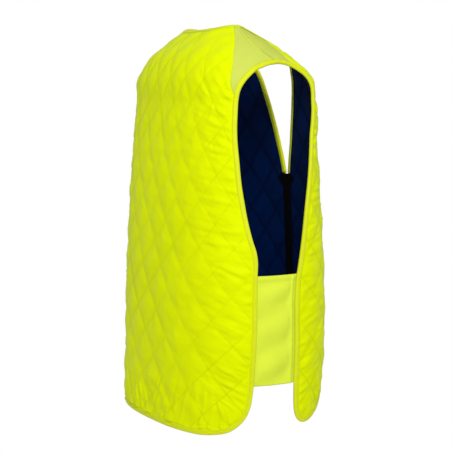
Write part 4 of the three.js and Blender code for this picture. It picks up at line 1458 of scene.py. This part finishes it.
def make_stitches(name, rows, sizes, material):
    """Rows of thread stitches. Each row has its line and how far it stands off the form."""
    vertices = []
    faces = []
    turn = np.linspace(0, 2 * math.pi, STITCH_SIDES, endpoint=False)
    radius = sizes.thread_width / 2
    stations = ((-0.40, 0.35, -0.4), (-0.26, 1.0, 0.5), (0.26, 1.0, 0.5), (0.40, 0.35, -0.4))
    for line, lift in rows:
        places = even(line, sizes.stitch_length)
        if len(places) < 3:
            continue
        for point, normal, across, forward in zip(*strip_frame(places, 1)):
            first = len(vertices)
            for reach, swell, rise in stations:
                middle = point + forward * reach * sizes.stitch_length
                middle = middle + normal * (lift + rise * radius)
                for angle in turn:
                    offset = across * math.cos(angle) + normal * math.sin(angle)
                    vertices.append(middle + offset * radius * swell)
            faces += tube_faces(first, len(stations), STITCH_SIDES)
    uv = [(v[0], v[2]) for v in vertices]
    make_object(name, vertices, faces, material, uv)


def quilting_rows(quilting, reach_low, reach_high, top, bottom):
    """Seam lines of one panel's quilting, cut at the panel's edges."""
    rows = []
    levels = np.arange(top, bottom, SEAM_STEP)
    for rising in (True, False):
        for number in range(-SEAM_NUMBERS, SEAM_NUMBERS):
            around = quilting.seam(number, rising, levels)
            inside = (around > reach_low(levels)) & (around < reach_high(levels))
            breaks = np.flatnonzero(np.diff(inside.astype(int))) + 1
            for part in np.split(np.arange(len(levels)), breaks):
                if inside[part[0]] and len(part) > 3:
                    rows.append((np.column_stack((around[part], levels[part])), THREAD_LIFT))
    return rows


def back_limit(levels):
    """How far the back panel's quilting runs from the centre at each level."""
    return panel_side(levels, BACK_SEWN, BACK_SEAM) - STITCH_INSET / form.half_girth(levels)


def front_low(levels):
    """Where the front panel's quilting starts at each level."""
    side = panel_side(levels, falling(FRONT_SEWN), FRONT_SEAM)
    return side + STITCH_INSET / form.half_girth(levels)


def front_high(levels):
    """Where the front panel's quilting ends at each level."""
    neck = crossing(NECK_SEWN, FRONT_SEAM)[0]
    zip_edge = zip_edge_at(levels, 2 * MM)
    neckline = np.minimum(around_at(NECK_SEWN[neck:], levels), zip_edge)
    hem = np.minimum(around_at(hem_of(FRONT_SEWN), levels), zip_edge)
    return np.where(levels > ZIP_TOP, hem, neckline) - 1.0 * MM / form.half_girth(levels)


class VEST_OT_stitching(bpy.types.Operator):
    """Makes the thread of the quilting, the bindings and the seams"""

    bl_idname = "vest.stitching"
    bl_label = "Stitching"

    def execute(self, context):
        sizes = context.scene.vest_sizes
        colours = context.scene.vest_colours
        quilt_thread = thread_material("quilt_thread", colours.thread)
        trim_thread = thread_material("trim_thread", colours.trim_thread)
        quilting = Quilting(BACK_QUILTING, False, sizes)
        neck_level = NECK_SEWN[0, 1] + 2 * MM
        rows = quilting_rows(
            quilting, lambda d: -back_limit(d), back_limit, neck_level, BACK_SEWN[-1, 1])
        make_stitches("quilting_stitches_back", rows, sizes, quilt_thread)
        quilting = Quilting(FRONT_QUILTING, True, sizes)
        rows = quilting_rows(
            quilting, front_low, front_high, FRONT_SEAM[0, 1] + 3 * MM, FRONT_SEWN[:, 1].max())
        for side, way in SIDES:
            turned = [(line * np.array((way, 1.0)), lift) for line, lift in rows]
            make_stitches(
                f"quilting_stitches_front_{side}", turned, sizes, quilt_thread)
        path = slide(edge_path(), -TRIM_INSET)
        for side, way in SIDES:
            rows = [(path * np.array((way, 1.0)), TRIM_LIFT)]
            make_stitches(f"edge_stitches_{side}", rows, sizes, trim_thread)
        rows = [(slide(neck_path(), TRIM_INSET), TRIM_LIFT)]
        make_stitches("neck_stitches", rows, sizes, trim_thread)
        for side, way in SIDES:
            make_stitches(
                f"seam_stitches_{side}", self.seam_rows(way), sizes, trim_thread)
        return {"FINISHED"}

    def seam_rows(self, way):
        """Topstitching beside the shoulder seam and the zip."""
        turn = np.array((way, 1.0))
        start = crossing(NECK_SEWN, SHOULDER)[1]
        end = crossing(BACK_SEWN, SHOULDER)[1]
        shoulder = SHOULDER[start + 1:end]
        rows = [(slide(shoulder, gap) * turn, THREAD_LIFT) for gap in (-SEAM_GAP, SEAM_GAP)]
        levels = np.arange(ZIP_TOP + 4 * MM, ZIP_BOTTOM - 2 * MM, 4 * MM)
        beside = zip_edge_at(levels, 2.2 * MM)
        rows.append((np.column_stack((beside, levels)) * turn, 0.35 * MM))
        return rows


# Stage

CAMERA_TURN = math.radians(61.04)
CAMERA_RISE = math.radians(5.60)
CAMERA_DISTANCE = 2.4
CAMERA_SIDEWAYS = 17.24 * MM
CAMERA_LEVEL = -361.19 * MM
CAMERA_LENS = 105.35
FLOOR_LEVEL = -1.42
FLOOR_RADIUS = 2.0
FLOOR_SIDES = 96
WORLD_LIGHT = 0.60
KEY_RIGHT = 0.15
KEY_UP = 1.0
KEY_BACK = 2.1
KEY_POWER = 28
KEY_SIZE = 0.7


class VEST_OT_stage(bpy.types.Operator):
    """Makes the pale floor, the white backdrop, the soft light and the camera"""

    bl_idname = "vest.stage"
    bl_label = "Stage"

    def execute(self, context):
        scene = context.scene
        right = Vector((-math.cos(CAMERA_TURN), -math.sin(CAMERA_TURN), 0))
        flat = math.cos(CAMERA_RISE)
        back = Vector((-math.sin(CAMERA_TURN) * flat, math.cos(CAMERA_TURN) * flat, math.sin(CAMERA_RISE)))
        up = back.cross(right)
        target = right * CAMERA_SIDEWAYS + Vector((0, 0, CAMERA_LEVEL))
        camera_data = bpy.data.cameras.new("camera")
        camera_data.lens = CAMERA_LENS
        camera_data.clip_end = 100
        camera = bpy.data.objects.new("camera", camera_data)
        turn = Matrix((right, up, back)).transposed().to_4x4()
        camera.matrix_world = Matrix.Translation(target + back * CAMERA_DISTANCE) @ turn
        scene.collection.objects.link(camera)
        scene.camera = camera
        place = target + right * KEY_RIGHT + up * KEY_UP + back * KEY_BACK
        self.add_light(scene, place, target)
        self.add_world(scene)
        self.add_floor(context)
        scene.view_settings.view_transform = "Standard"
        return {"FINISHED"}

    def add_world(self, scene):
        """A white backdrop, with a softer light than it shows."""
        world = bpy.data.worlds.new("studio")
        world.use_nodes = True
        nodes = world.node_tree.nodes
        background = nodes["Background"]
        background.inputs["Color"].default_value = (1, 1, 1, 1)
        rays = nodes.new("ShaderNodeLightPath")
        strength = nodes.new("ShaderNodeMapRange")
        strength.inputs["To Min"].default_value = WORLD_LIGHT
        strength.inputs["To Max"].default_value = 1.0
        world.node_tree.links.new(rays.outputs["Is Camera Ray"], strength.inputs["Value"])
        world.node_tree.links.new(strength.outputs["Result"], background.inputs["Strength"])
        scene.world = world

    def add_floor(self, context):
        """A round pale floor, well below the vest."""
        turns = np.linspace(0, 2 * math.pi, FLOOR_SIDES, endpoint=False)
        rim = [(FLOOR_RADIUS * math.cos(a), FLOOR_RADIUS * math.sin(a), FLOOR_LEVEL) for a in turns]
        mesh = bpy.data.meshes.new("floor")
        mesh.from_pydata(rim, [], [tuple(range(FLOOR_SIDES))])
        material = bpy.data.materials.new("floor")
        material.use_nodes = True
        shader = material.node_tree.nodes["Principled BSDF"]
        shader.inputs["Base Color"].default_value = (*context.scene.vest_colours.floor, 1)
        shader.inputs["Roughness"].default_value = 0.9
        mesh.materials.append(material)
        floor = bpy.data.objects.new("floor", mesh)
        context.scene.collection.objects.link(floor)

    def add_light(self, scene, place, target):
        """A square soft light that looks at the vest."""
        data = bpy.data.lights.new("key", "AREA")
        data.energy = KEY_POWER
        data.size = KEY_SIZE
        light = bpy.data.objects.new("key", data)
        light.location = place
        light.rotation_euler = (target - Vector(place)).to_track_quat("-Z", "Y").to_euler()
        scene.collection.objects.link(light)


class VEST_PT_panel(bpy.types.Panel):
    """Sizes, colours and steps of the vest"""

    bl_idname = "VEST_PT_panel"
    bl_label = "Cooling Vest"
    bl_space_type = "VIEW_3D"
    bl_region_type = "UI"
    bl_category = "Vest"

    def draw(self, context):
        for group in (context.scene.vest_sizes, context.scene.vest_colours):
            box = self.layout.box()
            for name in group.__annotations__:
                box.prop(group, name)
        for operator in OPERATORS:
            self.layout.operator(operator.bl_idname)


OPERATORS = (
    VEST_OT_quilted_panels,
    VEST_OT_lining,
    VEST_OT_yokes,
    VEST_OT_side_panels,
    VEST_OT_bindings,
    VEST_OT_zip,
    VEST_OT_stitching,
    VEST_OT_stage,
)
CLASSES = (VestSizes, VestColours, *OPERATORS, VEST_PT_panel)


def register():
    """Registers the classes and hangs the settings on the scene."""
    for cls in CLASSES:
        bpy.utils.register_class(cls)
    bpy.types.Scene.vest_sizes = PointerProperty(type=VestSizes)
    bpy.types.Scene.vest_colours = PointerProperty(type=VestColours)


def unregister():
    """Takes the settings and the classes away again."""
    del bpy.types.Scene.vest_colours
    del bpy.types.Scene.vest_sizes
    for cls in reversed(CLASSES):
        bpy.utils.unregister_class(cls)


def main():
    """Makes every piece in order."""
    register()
    bpy.ops.vest.quilted_panels()
    bpy.ops.vest.lining()
    bpy.ops.vest.yokes()
    bpy.ops.vest.side_panels()
    bpy.ops.vest.bindings()
    bpy.ops.vest.zip()
    bpy.ops.vest.stitching()
    bpy.ops.vest.stage()


if __name__ == "__main__":
    main()
